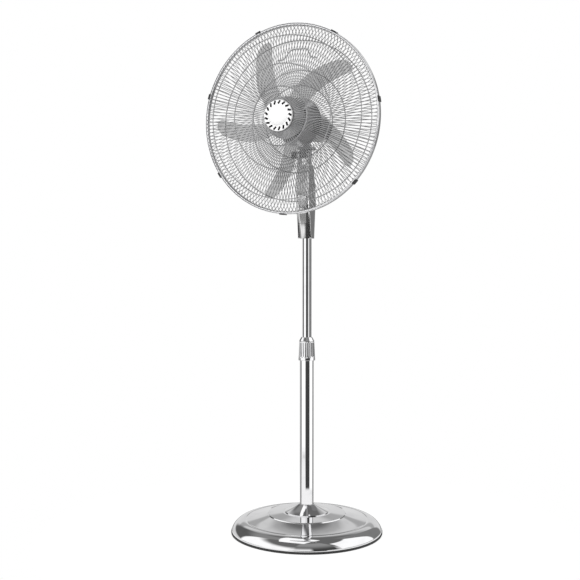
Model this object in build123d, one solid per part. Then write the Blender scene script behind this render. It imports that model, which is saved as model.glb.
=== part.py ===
from build123d import *
import os
from math import asin, atan2, cos, degrees, hypot, radians, sin, sqrt, tan

# Pedestal fan, millimetres. The origin is on the floor at the pole's axis, +Z is up, the fan blows to -Y.
# Head pieces are placed by their distance "ahead" of the rim plane, where the two guard halves meet.

# Fits and gaps
RUN_FIT = 0.10          # radial room of a piece that turns or slides in another
BODY_GAP = 0.6          # room between pieces that move past each other
SEAM = 0.7              # visible joint between neighbouring covers
WELD = 0.25             # depth to which a welded wire sinks into its neighbour
OVERCUT = 1.0           # how far a cutting shape runs past what it cuts

# Base
BASE_R = 196.5
BASE_WALL = 1.5
TRIM_H = 6.0            # rubber edge trim that the base stands on
TRIM_LEDGE = 3.5
TRIM_W = 16.0
TRIM_OUT = 1.5
LIP_Z = 9.0             # top of the upright lip at the base's edge
BAND_MID_IN = 10.8      # how far the middle of the domed band lies inside the edge
BAND_MID_Z = 25.0
CREASE_R = 158.3
CREASE_Z = 34.8
COVE_MID_R = 129.6      # where the hollow ring between the band and the tier passes
COVE_MID_Z = 38.7
TIER_R = 101.0
TIER_Z = 50.5
PLATEAU_R = 64.0
PLATEAU_Z = 54.0
PLATE_T = 2.0           # steel plate that closes the base
WEIGHT_R = 104.0
WEIGHT_TOP = 18.0
WEIGHT_BOSS_R = 36.0

# Pole foot
FLANGE_R = 34.0
FLANGE_T = 3.0
SLEEVE_H = 10.0
SLEEVE_WALL = 2.2
FLANGE_SCREWS = 4
FLANGE_SCREW_PCR = 27.0
FLANGE_SCREW_R = 2.5
FLANGE_SCREW_HEAD_R = 4.8
FLANGE_SCREW_L = 16.0
PLUG_H = 14.0
POLE_BOLT_R = 5.0
POLE_BOLT_HEAD_R = 11.0
POLE_BOLT_HEAD_H = 2.6
POLE_BOLT_REACH = 11.0
CONE_R = 57.0           # flared cover round the foot of the pole
CONE_EDGE = 1.8
CONE_WALL = 1.2
CONE_RISE = 20.8
CONE_MID_R = 38.0
CONE_MID_RISE = 10.2

# Pole
TUBE_R = 18.0
TUBE_WALL = 1.5
TUBE_TOP = 469.5
MAST_R = 12.5
MAST_WALL = 1.2
MAST_FOOT = 311.5
GUIDE_H = 30.0

# Height collar
COLLAR_LAP = 18.0       # how far the collar reaches down over the lower tube
COLLAR_H = 49.5
COLLAR_FOOT = TUBE_TOP - COLLAR_LAP
COLLAR_TOP = COLLAR_FOOT + COLLAR_H
COLLAR_R = 21.8
COLLAR_TOP_R = 20.0
COLLAR_BAND = 8.0
COLLAR_FLUTES = 16
FLUTE_R = 2.0
FLUTE_DEPTH = 0.9
COLLAR_CAP_H = 10.5
COLLAR_CAP_R = 14.6
COLLAR_CAP_EDGE = 1.0
COLLET_DEPTH = 34.0
COLLET_FLANGE = 2.0
COLLET_WALL = 3.2

# Neck with the controls: height, half width, reach to the front and to the back, corner radius
NECK_FOOT = (769.0, 19.3, 19.3, 19.3, 19.0)
NECK_LOWER_SEAM = (808.2, 19.0, 24.5, 20.5, 15.0)
NECK_MIDDLE = (846.5, 18.8, 31.0, 21.0, 11.0)
NECK_UPPER_SEAM = (889.3, 18.5, 36.5, 21.0, 8.0)
NECK_HEAD = (958.6, 16.5, 32.0, 11.5, 7.5)
NECK_WALL = 2.2
SPLIT_SETBACK = 5.0     # how far the seam of the front covers lies behind the front face
SOCKET_DEPTH = 82.0
SOCKET_WALL = 2.6
RIB_T = 3.0
CLAMP_SCREW_R = 2.5
CLAMP_SCREW_HEAD_R = 4.5
CLAMP_SCREW_HEAD_H = 3.0
CLAMP_SCREW_UP = 58.0
GLAND_R = 4.5
GLAND_BORE = 3.2
GLAND_OUT = 7.0
GLAND_UP = 20.0

# Speed keys
KEYS = 4
KEY_W = 4.4
KEY_H = 6.0
KEY_PITCH = 5.6
KEY_BELOW_SEAM = 6.5
KEY_OUT = 2.6
KEY_TRAVEL = 3.0
KEY_ROOM = 0.45
KEY_TAIL = 3.5          # length of a key behind the panel when it is pressed home
SWITCH_W = 26.0
SWITCH_H = 24.0
SWITCH_D = 13.0
POST_R = 3.0
POST_SPREAD = 16.0

# Tilt joint
TILT_Y = -16.0
TILT_Z = 985.6
EAR_R = 10.0
EAR_T = 5.5
TONGUE_W = 19.0
EAR_ROOM = 0.5
TILT_PIN_R = 4.0
TILT_HEAD_R = 7.0
TILT_HEAD_T = 3.0
PIN_THREAD = 12.0
TILT_KNOB_R = 9.0
TILT_KNOB_L = 19.0
TILT_KNOB_LOBES = 6
TABLE_Z = 999.6         # underside of the bracket's table
TABLE_T = 5.0
TABLE_R = 24.0
PIVOT_R = 6.0
PIVOT_SEAT = 9.0
PIVOT_FLOOR = 3.0
PIVOT_BOSS_WALL = 5.0
PIVOT_TOP = 1035.6

# Fan head
AXIS_Z = 1063.6
RIM_Y = -107.0
MOTOR_R = 44.0
MOTOR_WALL = 2.4
MOTOR_FACE = -59.0
MOTOR_BEVEL = 4.0
COVER_SPLIT = -90.0     # joint between the front and rear motor covers
COVER_TAPER_R = 36.0
COVER_TAPER = -187.0
COVER_ROUND_IN = 5.0     # where the rounded end of the cover passes, inside and behind the taper's end
COVER_ROUND_BACK = 9.0
COVER_END_R = 20.0
COVER_END = -200.0
NOSE_R = 17.0
NOSE_AHEAD = -45.0
NUT_R = 30.0
NUT_T = 7.0
VENT_SLOTS = 12
VENT_W = 3.0
VENT_L = 24.0
STATOR_L = 20.0
STATOR_FRONT = -68.5
STATOR_BORE = 22.0
WINDING_L = 6.0
WINDING_R = 36.0
WINDING_BORE = 24.0
AIR_GAP = 0.6
SHAFT_R = 4.0
BUSH_WALL = 3.5
BUSH_L = 11.0
GEAR_PLATE_T = 3.0
GEAR_H = 34.0
GEAR_WALL = 3.0
SOCKET_BOSS_WALL = 4.5
WORM_R = 4.6
WORM_L = 16.0
WHEEL_R = 8.0
WHEEL_T = 5.0
WHEEL_BACK = -122.0
CRANK_SHAFT_R = 2.5
CRANK_R = 7.5
CRANK_T = 2.5
CRANK_Z = 1011.1
CRANK_PIN_R = 1.5
CRANK_THROW = 5.0
LINK_Z = 1006.2
LINK_T = 2.4
LINK_W = 6.0
LINK_POST = (-20.5, -9.0)
LINK_POST_R = 2.0
LINK_SHOULDER = 1.5
CAPACITOR_SIZE = (26.0, 20.0, 14.0)
CAPACITOR_BACK = -163.0
KNOB_R = 7.0
KNOB_H = 11.0
KNOB_STEM_R = 2.5
KNOB_LIFT = 8.0
KNOB_ROOM = 1.2

# Blades
BLADES = 5
BLADE_TIP_AT = -35.6    # direction of the first tip from +X, counter-clockwise as seen from the front
BLADE_T = 2.2
HUB_R = 40.0
HUB_BACK = -10.0
HUB_FRONT = 26.0
HUB_WALL = 2.5
HUB_BOSS_R = 11.0
HUB_BOSS_OUT = 3.0      # how far the boss stands out behind the cup
SPINNER_R = 52.0
SPINNER_EDGE = 4.0
SPINNER_RISE = 21.0
SPINNER_WALL = 2.2
DRIVE_PIN_R = 1.5
DRIVE_PIN_L = 18.0
# Blade stations: radius, turn from the tip's direction, width seen from the front, pitch, ahead
BLADE_STATIONS = (
    (36.0, 26.0, 40.0, 27.0, 8.0),
    (75.0, 21.0, 45.0, 23.0, 7.0),
    (110.0, 15.5, 47.0, 19.5, 6.0),
    (142.0, 10.0, 46.5, 17.0, 5.0),
    (170.0, 5.5, 43.0, 15.0, 4.0),
    (191.0, 2.2, 37.5, 13.5, 3.0),
    (203.0, 0.4, 18.0, 13.0, 2.5),
)

# Guards
SPOKES = 154
SPOKE_R = 0.9
SPOKE_SIDES = 8         # the many thin wires are drawn with flats
SPOKE_LAP = 5.0         # length of a long spoke on its centre plate
RING_R = 1.3
RIM_WIRE_R = 2.8
BAND_R = 236.5
BAND_W = 13.0
BAND_WALL = 0.9
DOME_R = 640.0
DOME_AHEAD = 66.0
FRONT_CORNER_R = 48.0
FRONT_RINGS = (72.0, 129.0, 201.0)
REAR_FLAT_R = 62.0
REAR_FLAT_AHEAD = -57.0
REAR_CONE = 8.4         # slope of the rear guard's dish in degrees
REAR_CORNER_R = 34.0
REAR_RINGS = (92.0, 129.0, 202.0)
REAR_PLATE_T = 1.2
FRONT_PLATE_R = 40.0
FRONT_PLATE_T = 1.2
HANDLE_R = 1.75
HANDLE_DROP = 78.5      # how far the handle's foot lies below the rim
HANDLE_UP = BAND_R - HANDLE_DROP
HANDLE_FOOT = 55.0
HANDLE_TOP = 22.0
HANDLE_RISE = 29.0
HANDLE_LEAN = 14.0
HANDLE_BEND = 12.0
CLIPS = 7
CLIP_AT = 8.3
CLIP_W = 14.0
CLIP_T = 1.8
CLIP_LIP = 1.2

# Badge on the front guard
BADGE_R = 25.5
BADGE_T = 3.0
BADGE_CROWN = 3.0
VENT_RING_R = 38.5
VENT_RING_T = 3.4
VENT_RING_BEVEL = 2.0
BADGE_SLOTS = 17
SLOT_W = 5.2
SLOT_CORNER = 1.0
SLOT_SLANT = 32.0       # a slot's outer end leans clockwise
SLOT_MARGIN = 1.5

FAN = Plane(origin=(0, RIM_Y, AXIS_Z), x_dir=(1, 0, 0), z_dir=(0, 0, -1))
FAN_AXIS = Axis((0, RIM_Y, AXIS_Z), (0, -1, 0))


def upright(*points):
    """Ring turned about the pole from an outline of (radius, height) points."""
    return revolve(Plane.XZ * make_face(Polyline(*points, close=True)), Axis.Z)


def turned(*points):
    """Ring turned about the fan's axis from an outline of (radius, ahead) points."""
    return revolve(FAN * make_face(Polyline(*points, close=True)), FAN_AXIS)


def turned_edges(*edges):
    return revolve(FAN * make_face(edges), FAN_AXIS)


def rod(start, direction, radius, length):
    standing = (Align.CENTER, Align.CENTER, Align.MIN)
    return Plane(origin=start, z_dir=direction) * Cylinder(radius, length, align=standing)


def post(x, y, z0, z1, radius):
    return rod((x, y, z0), (0, 0, 1), radius, z1 - z0)


def fan_rod(radius, back, front, x=0.0, z=0.0):
    """Rod along the fan's axis between two distances ahead of the rim plane."""
    return rod((x, RIM_Y - back, AXIS_Z + z), (0, -1, 0), radius, front - back)


def fan_tube(outer, inner, back, front):
    return fan_rod(outer, back, front) - fan_rod(inner, back, front)


def round_the_fan(shape, count, first=0.0):
    return [shape.rotate(FAN_AXIS, first + 360.0 * i / count) for i in range(count)]


def box(x0, x1, y0, y1, z0, z1):
    return Pos((x0 + x1) / 2, (y0 + y1) / 2, (z0 + z1) / 2) * Box(x1 - x0, y1 - y0, z1 - z0)


def side_plate(outline, x0, x1):
    """Plate between two X positions from an outline in the YZ plane."""
    return extrude(Plane(origin=(x0, 0, 0), x_dir=(0, 1, 0), z_dir=(1, 0, 0)) * outline, x1 - x0)


def group(solids):
    return Compound(children=[part.solid() for part in solids])


# Base


def base_skin(inset):
    """Lines of the base cover's profile, drawn in by a distance from the outer face."""
    lip = (BASE_R - inset, LIP_Z)
    band = (BASE_R - BAND_MID_IN - 0.72 * inset, BAND_MID_Z - 0.70 * inset)
    crease = (CREASE_R - 0.25 * inset, CREASE_Z - inset)
    cove = (COVE_MID_R - 0.25 * inset, COVE_MID_Z - inset)
    tier = (TIER_R - 0.4 * inset, TIER_Z - inset)
    plateau = (PLATEAU_R, PLATEAU_Z - inset)
    inner = (POLE_BOLT_R, PLATEAU_Z - inset)
    edge = Line((BASE_R - inset, TRIM_LEDGE), lip)
    dome = ThreePointArc(lip, band, crease)
    return [edge, dome, ThreePointArc(crease, cove, tier), Polyline(tier, plateau, inner)]


def base_cover():
    outer = base_skin(0.0)
    inner = base_skin(BASE_WALL)
    foot = Line(outer[0] @ 0, inner[0] @ 0)
    bore = Line(outer[-1] @ 1, inner[-1] @ 1)
    face = make_face([*outer, *inner, foot, bore])
    return revolve(Plane.XZ * face, Axis.Z) - screw_shanks(FLANGE_SCREW_R)


def screw_shanks(radius):
    top = PLATEAU_Z + FLANGE_T
    shank = post(FLANGE_SCREW_PCR, 0, top - FLANGE_SCREW_L, top, radius)
    return [shank.rotate(Axis.Z, (i + 0.5) * 360 / FLANGE_SCREWS) for i in range(FLANGE_SCREWS)]


def screw_heads():
    top = PLATEAU_Z + FLANGE_T
    depth = FLANGE_SCREW_HEAD_R - FLANGE_SCREW_R
    head = Pos(FLANGE_SCREW_PCR, 0, top - depth / 2) * Cone(FLANGE_SCREW_R, FLANGE_SCREW_HEAD_R, depth)
    return [head.rotate(Axis.Z, (i + 0.5) * 360 / FLANGE_SCREWS) for i in range(FLANGE_SCREWS)]


def base_weight():
    floor = TRIM_LEDGE + PLATE_T
    ceiling = PLATEAU_Z - BASE_WALL
    body = upright((POLE_BOLT_R, floor), (WEIGHT_R, floor), (WEIGHT_R, WEIGHT_TOP),
                   (WEIGHT_BOSS_R, WEIGHT_TOP), (WEIGHT_BOSS_R, ceiling), (POLE_BOLT_R, ceiling))
    return body - screw_shanks(FLANGE_SCREW_R)


def base_bottom_plate():
    outer = BASE_R - BASE_WALL - SEAM
    return upright((POLE_BOLT_R, TRIM_LEDGE), (outer, TRIM_LEDGE),
                   (outer, TRIM_LEDGE + PLATE_T), (POLE_BOLT_R, TRIM_LEDGE + PLATE_T))


def base_edge_trim():
    out = BASE_R + TRIM_OUT
    return upright((out - TRIM_W, 0), (out, 0), (out, TRIM_H), (BASE_R, TRIM_H),
                   (BASE_R, TRIM_LEDGE), (out - TRIM_W, TRIM_LEDGE))


def pole_socket():
    top = PLATEAU_Z + FLANGE_T
    sleeve = TUBE_R + SLEEVE_WALL
    body = upright((POLE_BOLT_R, PLATEAU_Z), (FLANGE_R, PLATEAU_Z), (FLANGE_R, top), (sleeve, top),
                   (sleeve, top + SLEEVE_H), (TUBE_R, top + SLEEVE_H), (TUBE_R, top), (POLE_BOLT_R, top))
    return body - screw_shanks(FLANGE_SCREW_R) - screw_heads()


def socket_screws():
    pairs = zip(screw_shanks(FLANGE_SCREW_R), screw_heads())
    return group([shank + head for shank, head in pairs])


def pole_plug():
    foot = PLATEAU_Z + FLANGE_T
    outer = TUBE_R - TUBE_WALL
    return upright((POLE_BOLT_R, foot), (outer, foot), (outer, foot + PLUG_H), (POLE_BOLT_R, foot + PLUG_H))


def pole_bolt():
    """Bolt from under the base into the plug in the tube, with a low head."""
    top = PLATEAU_Z + FLANGE_T + POLE_BOLT_REACH
    head = post(0, 0, TRIM_LEDGE - POLE_BOLT_HEAD_H, TRIM_LEDGE, POLE_BOLT_HEAD_R)
    return head + post(0, 0, TRIM_LEDGE, top, POLE_BOLT_R)


def pole_escutcheon():
    foot = PLATEAU_Z
    bore = TUBE_R + BODY_GAP
    top = foot + CONE_RISE
    outer = ThreePointArc((CONE_R, foot + CONE_EDGE), (CONE_MID_R, foot + CONE_MID_RISE), (bore + CONE_WALL, top))
    inner = ThreePointArc((CONE_R - CONE_WALL, foot + CONE_EDGE - CONE_WALL),
                          (CONE_MID_R - CONE_WALL, foot + CONE_MID_RISE - CONE_WALL), (bore, top))
    rim = Polyline((CONE_R, foot + CONE_EDGE), (CONE_R, foot), (CONE_R - CONE_WALL, foot), inner @ 0)
    return revolve(Plane.XZ * make_face([outer, Line(outer @ 1, inner @ 1), inner, rim]), Axis.Z)


def lower_tube():
    foot = PLATEAU_Z + FLANGE_T
    inner = TUBE_R - TUBE_WALL
    return upright((inner, foot), (TUBE_R, foot), (TUBE_R, TUBE_TOP), (inner, TUBE_TOP))


def clamp_collet():
    """Split bush in the mouth of the lower tube, with a barrel for the collar above it."""
    bore = MAST_R + RUN_FIT
    sleeve = TUBE_R - TUBE_WALL
    barrel = bore + COLLET_WALL
    seat = TUBE_TOP + COLLET_FLANGE
    top = COLLAR_TOP + BODY_GAP
    return upright((bore, TUBE_TOP - COLLET_DEPTH), (sleeve, TUBE_TOP - COLLET_DEPTH), (sleeve, TUBE_TOP),
                   (TUBE_R, TUBE_TOP), (TUBE_R, seat), (barrel, seat), (barrel, top), (bore, top))


def height_collar():
    """Twist nut round the collet's barrel, fluted for grip."""
    skirt = TUBE_R + BODY_GAP
    barrel = MAST_R + RUN_FIT + COLLET_WALL + BODY_GAP
    seat = TUBE_TOP + COLLET_FLANGE + BODY_GAP
    ring = upright((skirt, COLLAR_FOOT), (COLLAR_R, COLLAR_FOOT), (COLLAR_R, COLLAR_FOOT + COLLAR_BAND),
                   (COLLAR_TOP_R, COLLAR_TOP), (barrel, COLLAR_TOP), (barrel, seat), (skirt, seat))
    lean = degrees(atan2(COLLAR_R - COLLAR_TOP_R, COLLAR_TOP - COLLAR_FOOT - COLLAR_BAND))
    start = (COLLAR_R + FLUTE_R - FLUTE_DEPTH, 0, COLLAR_FOOT + COLLAR_BAND)
    flute = rod(start, (-tan(radians(lean)), 0, 1), FLUTE_R, 2 * (COLLAR_TOP - COLLAR_FOOT))
    return ring - [flute.rotate(Axis.Z, 360 * i / COLLAR_FLUTES) for i in range(COLLAR_FLUTES)]


def collar_cap():
    """Cone that closes the collar round the upper tube."""
    foot = COLLAR_TOP + BODY_GAP
    bore = MAST_R + BODY_GAP
    return upright((bore, foot), (COLLAR_TOP_R, foot), (COLLAR_TOP_R, foot + COLLAR_CAP_EDGE),
                   (COLLAR_CAP_R, foot + COLLAR_CAP_H), (bore, foot + COLLAR_CAP_H))


# Mast and neck


def upper_tube():
    top = NECK_FOOT[0] + SOCKET_DEPTH
    inner = MAST_R - MAST_WALL
    return upright((inner, MAST_FOOT), (MAST_R, MAST_FOOT), (MAST_R, top), (inner, top))


def tube_guide():
    outer = TUBE_R - TUBE_WALL - RUN_FIT
    top = MAST_FOOT + GUIDE_H
    return upright((MAST_R, MAST_FOOT), (outer, MAST_FOOT), (outer, top), (MAST_R, top))


NECK = (NECK_FOOT, NECK_LOWER_SEAM, NECK_MIDDLE, NECK_UPPER_SEAM, NECK_HEAD)


def neck_form(inset):
    """Solid neck, drawn in by a distance on every side."""
    sections = []
    for z, half, front, back, corner in NECK:
        z_in = min(max(z, NECK_FOOT[0] + inset), NECK_HEAD[0] - inset)
        width = 2 * (half - inset)
        depth = front + back - 2 * inset
        radius = max(corner - inset, NECK_WALL / 2)
        sections.append(Pos(0, (back - front) / 2, z_in) * RectangleRounded(width, depth, radius))
    return loft(sections)


def neck_front_region(offset):
    """Space in front of the seam between the front covers and the rear shell."""
    foot, seam, head = NECK_FOOT, NECK_UPPER_SEAM, NECK_HEAD
    far = -3 * seam[2]
    low, high = foot[0] - OVERCUT, head[0] + OVERCUT
    outline = Polyline((far, low), (-foot[2] + SPLIT_SETBACK - offset, low),
                       (-seam[2] + SPLIT_SETBACK - offset, seam[0]),
                       (-head[2] + SPLIT_SETBACK - offset, high), (far, high), close=True)
    return side_plate(make_face(outline), -3 * foot[1], 3 * foot[1])


def neck_skin():
    return neck_form(0.0) - neck_form(NECK_WALL)


def front_slice(z0, z1):
    """One front cover: the neck's skin ahead of the seam, between two heights."""
    reach = 3 * NECK_UPPER_SEAM[2]
    return (neck_skin() & neck_front_region(SEAM / 2)) & box(-reach, reach, -reach, reach, z0, z1)


def neck_lower_cover():
    return front_slice(NECK_FOOT[0], NECK_LOWER_SEAM[0] - SEAM / 2)


def neck_upper_cover():
    return front_slice(NECK_UPPER_SEAM[0] + SEAM / 2, NECK_HEAD[0])


def key_x(i):
    return (i - (KEYS - 1) / 2) * KEY_PITCH


def key_face():
    """Y of the panel's face at the height of the keys."""
    return -NECK_UPPER_SEAM[2]


KEY_Z = NECK_UPPER_SEAM[0] - KEY_BELOW_SEAM


def control_panel():
    panel = front_slice(NECK_LOWER_SEAM[0] + SEAM / 2, NECK_UPPER_SEAM[0] - SEAM / 2)
    half_w = KEY_W / 2 + KEY_ROOM
    half_h = KEY_H / 2 + KEY_ROOM
    for i in range(KEYS):
        panel -= box(key_x(i) - half_w, key_x(i) + half_w, 2 * key_face(), 0, KEY_Z - half_h, KEY_Z + half_h)
    return panel


def switch_front():
    return key_face() + NECK_WALL + KEY_TRAVEL + KEY_TAIL


def speed_key(i):
    """Key that goes straight in; its back stays clear of the switch over the whole travel."""
    front = key_face() - KEY_OUT
    back = switch_front() - KEY_TRAVEL - BODY_GAP
    cap = box(key_x(i) - KEY_W / 2, key_x(i) + KEY_W / 2, front, back, KEY_Z - KEY_H / 2, KEY_Z + KEY_H / 2)
    return fillet(cap.edges().group_by(Axis.Y)[0], KEY_W / 8)


def switch_block():
    y0 = switch_front()
    return box(-SWITCH_W / 2, SWITCH_W / 2, y0, y0 + SWITCH_D, KEY_Z - SWITCH_H / 2, KEY_Z + SWITCH_H / 2)


def ear(side):
    """Cheek beside the tilt joint, standing on the neck."""
    inner = TONGUE_W / 2 + EAR_ROOM
    foot = NECK_HEAD[0] - 2 * NECK_WALL
    outline = Pos(TILT_Y, TILT_Z) * Circle(EAR_R)
    outline += Pos(TILT_Y, (TILT_Z + foot) / 2) * Rectangle(2 * EAR_R, TILT_Z - foot)
    x0 = inner if side > 0 else -inner - EAR_T
    return side_plate(outline, x0, x0 + EAR_T)


def neck_rear_shell():
    foot = NECK_FOOT[0]
    shell = neck_skin() - neck_front_region(-SEAM / 2)
    hollow = neck_form(NECK_WALL)
    boss_r = MAST_R + SOCKET_WALL
    ribs = box(-NECK_FOOT[1], NECK_FOOT[1], -RIB_T / 2, RIB_T / 2, foot, foot + SOCKET_DEPTH)
    ribs += box(-RIB_T / 2, RIB_T / 2, 0, NECK_UPPER_SEAM[3], foot, foot + SOCKET_DEPTH)
    shell += post(0, 0, foot + NECK_WALL, foot + SOCKET_DEPTH, boss_r)
    shell += ribs & hollow
    back = switch_front() + SWITCH_D
    for x in (-POST_SPREAD / 2, POST_SPREAD / 2):
        shell += rod((x, back, KEY_Z), (0, 1, 0), POST_R, NECK_UPPER_SEAM[3] - NECK_WALL / 2 - back)
    for side in (-1, 1):
        shell += ear(side)
    shell -= post(0, 0, foot - OVERCUT, foot + SOCKET_DEPTH + OVERCUT, MAST_R)
    reach = NECK_FOOT[1] + GLAND_OUT
    shell -= rod((0, MAST_R, foot + CLAMP_SCREW_UP), (0, 1, 0), CLAMP_SCREW_R, reach)
    shell -= rod((0, MAST_R + SOCKET_WALL, foot + GLAND_UP), (0, 1, 0), GLAND_R, reach)
    shell -= rod((-3 * EAR_R, TILT_Y, TILT_Z), (1, 0, 0), TILT_PIN_R, 6 * EAR_R)
    return shell


def neck_back():
    """Y of the neck's back face at its lower seam."""
    return NECK_LOWER_SEAM[3]


def neck_clamp_screw():
    z = NECK_FOOT[0] + CLAMP_SCREW_UP
    seat = NECK_MIDDLE[3] + RUN_FIT
    shank = rod((0, MAST_R, z), (0, 1, 0), CLAMP_SCREW_R, seat - MAST_R)
    return shank + rod((0, seat, z), (0, 1, 0), CLAMP_SCREW_HEAD_R, CLAMP_SCREW_HEAD_H)


def cord_gland():
    z = NECK_FOOT[0] + GLAND_UP
    start = neck_back() - NECK_WALL
    body = rod((0, start, z), (0, 1, 0), GLAND_R, NECK_WALL + GLAND_OUT)
    return body - rod((0, start - OVERCUT, z), (0, 1, 0), GLAND_BORE, NECK_WALL + GLAND_OUT + 2 * OVERCUT)


# Tilt joint


def ear_outside():
    return TONGUE_W / 2 + EAR_ROOM + EAR_T


def tilt_pin():
    x = ear_outside()
    pin = rod((-x - PIN_THREAD, TILT_Y, TILT_Z), (1, 0, 0), TILT_PIN_R, 2 * x + PIN_THREAD)
    return pin + rod((x, TILT_Y, TILT_Z), (1, 0, 0), TILT_HEAD_R, TILT_HEAD_T)


def tilt_lock_knob():
    """Hand knob on the threaded end of the tilt pin."""
    start = -ear_outside() - BODY_GAP
    knob = rod((start, TILT_Y, TILT_Z), (-1, 0, 0), TILT_KNOB_R, TILT_KNOB_L)
    lobe = rod((start - TILT_KNOB_L / 3, TILT_Y + TILT_KNOB_R, TILT_Z), (-1, 0, 0), TILT_KNOB_R / 4, TILT_KNOB_L)
    axis = Axis((0, TILT_Y, TILT_Z), (1, 0, 0))
    knob -= [lobe.rotate(axis, 360 * i / TILT_KNOB_LOBES) for i in range(TILT_KNOB_LOBES)]
    depth = PIN_THREAD + BODY_GAP + OVERCUT
    return knob - rod((start + OVERCUT, TILT_Y, TILT_Z), (-1, 0, 0), TILT_PIN_R + RUN_FIT, depth)


def pivot_foot():
    return TABLE_Z - PIVOT_SEAT + PIVOT_FLOOR


def tilt_bracket():
    """Casting that tilts between the ears and carries the swivel pin on a round table."""
    top = TABLE_Z + TABLE_T
    tongue = Pos(TILT_Y, TILT_Z) * Circle(EAR_R)
    boss = PIVOT_R + PIVOT_BOSS_WALL
    tongue += make_face(Polyline((TILT_Y - EAR_R, TILT_Z), (TILT_Y - EAR_R, TABLE_Z), (boss, TABLE_Z),
                                 (boss, TABLE_Z - PIVOT_SEAT), (TILT_Y + EAR_R, TILT_Z), close=True))
    body = side_plate(tongue, -TONGUE_W / 2, TONGUE_W / 2)
    body += post(0, 0, TABLE_Z, top, TABLE_R)
    body += post(*LINK_POST, top, LINK_Z + LINK_T, LINK_POST_R)
    body += post(*LINK_POST, top, LINK_Z - BODY_GAP, LINK_POST_R + LINK_SHOULDER)
    body -= rod((-TONGUE_W, TILT_Y, TILT_Z), (1, 0, 0), TILT_PIN_R + RUN_FIT, 2 * TONGUE_W)
    return body - post(0, 0, pivot_foot(), top + OVERCUT, PIVOT_R)


def swivel_pin():
    return post(0, 0, pivot_foot(), PIVOT_TOP, PIVOT_R)


def wheel_x():
    return -(WORM_R + WHEEL_R + BODY_GAP)


def wheel_y():
    return RIM_Y - WHEEL_BACK


def crank_link():
    """Flat arm from the bracket's post to the crank."""
    pin = (wheel_x() - CRANK_THROW, wheel_y())
    length = hypot(pin[0] - LINK_POST[0], pin[1] - LINK_POST[1])
    heading = degrees(atan2(pin[1] - LINK_POST[1], pin[0] - LINK_POST[0]))
    outline = Pos(length / 2, 0) * SlotCenterToCenter(length, LINK_W)
    outline -= Circle(LINK_POST_R + RUN_FIT)
    outline -= Pos(length, 0) * Circle(CRANK_PIN_R + BODY_GAP)
    arm = extrude(outline, LINK_T)
    return Pos(LINK_POST[0], LINK_POST[1], LINK_Z) * Rot(0, 0, heading) * arm


# Motor


def gear_front():
    return STATOR_FRONT - STATOR_L - WINDING_L - BODY_GAP


def cover_radius(ahead):
    """Outer radius of the rear motor cover where it tapers."""
    share = (COVER_SPLIT - ahead) / (COVER_SPLIT - COVER_TAPER)
    return MOTOR_R + (COVER_TAPER_R - MOTOR_R) * share


def motor_front_cover():
    inner = MOTOR_R - MOTOR_WALL
    bush = SHAFT_R + RUN_FIT + BUSH_WALL
    return turned((bush, MOTOR_FACE - MOTOR_WALL), (inner, MOTOR_FACE - MOTOR_WALL), (inner, COVER_SPLIT),
                  (MOTOR_R, COVER_SPLIT), (MOTOR_R, MOTOR_FACE - MOTOR_BEVEL), (MOTOR_R - MOTOR_BEVEL, MOTOR_FACE),
                  (NOSE_R, MOTOR_FACE), (NOSE_R, NOSE_AHEAD), (bush, NOSE_AHEAD))


def motor_rear_cover():
    """Tapered shell with a rounded end, slotted at the back, open below for the swivel and the crank."""
    split = COVER_SPLIT - SEAM
    wall = MOTOR_WALL
    mid_r, mid_ahead = COVER_TAPER_R - COVER_ROUND_IN, COVER_TAPER - COVER_ROUND_BACK
    outer = ThreePointArc((COVER_TAPER_R, COVER_TAPER), (mid_r, mid_ahead), (COVER_END_R, COVER_END))
    inner = ThreePointArc((COVER_TAPER_R - wall, COVER_TAPER), (mid_r - 0.8 * wall, mid_ahead + wall),
                          (COVER_END_R, COVER_END + wall))
    rest = [Polyline(outer @ 1, (0, COVER_END), (0, COVER_END + wall), inner @ 1),
            Polyline(outer @ 0, (MOTOR_R, split), (MOTOR_R - wall, split), inner @ 0)]
    shell = turned_edges(outer, inner, *rest)
    slot_mid = COVER_TAPER + VENT_L
    slot = box(-VENT_W / 2, VENT_W / 2, RIM_Y - slot_mid - VENT_L / 2, RIM_Y - slot_mid + VENT_L / 2,
               AXIS_Z + COVER_TAPER_R / 2, AXIS_Z + 2 * MOTOR_R)
    shell -= round_the_fan(slot, VENT_SLOTS, 180 / VENT_SLOTS)
    boss = PIVOT_R + RUN_FIT + SOCKET_BOSS_WALL + BODY_GAP
    shell -= post(0, 0, AXIS_Z - 2 * MOTOR_R, AXIS_Z - MOTOR_R / 2, boss)
    shell -= post(wheel_x(), wheel_y(), AXIS_Z - 2 * MOTOR_R, AXIS_Z, CRANK_SHAFT_R + BODY_GAP)
    return shell - post(wheel_x(), wheel_y(), AXIS_Z, AXIS_Z + 2 * MOTOR_R, KNOB_STEM_R + BODY_GAP)


def stator_core():
    outer = MOTOR_R - MOTOR_WALL
    return fan_tube(outer, STATOR_BORE, STATOR_FRONT - STATOR_L, STATOR_FRONT)


def stator_windings():
    front = fan_tube(WINDING_R, WINDING_BORE, STATOR_FRONT, STATOR_FRONT + WINDING_L)
    back = STATOR_FRONT - STATOR_L
    return group([front, fan_tube(WINDING_R, WINDING_BORE, back - WINDING_L, back)])


def rotor_core():
    return fan_tube(STATOR_BORE - AIR_GAP, SHAFT_R, STATOR_FRONT - STATOR_L, STATOR_FRONT)


def front_bush():
    bore = SHAFT_R + RUN_FIT
    return fan_tube(bore + BUSH_WALL, bore, NOSE_AHEAD - BUSH_L, NOSE_AHEAD)


def rear_bush():
    bore = SHAFT_R + RUN_FIT
    return fan_tube(bore + BUSH_WALL, bore, gear_front() - GEAR_PLATE_T - GEAR_WALL, gear_front())


def worm_ahead():
    return WHEEL_BACK + WORM_L / 2


def shaft_front():
    return HUB_FRONT + SPINNER_RISE / 2


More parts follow.
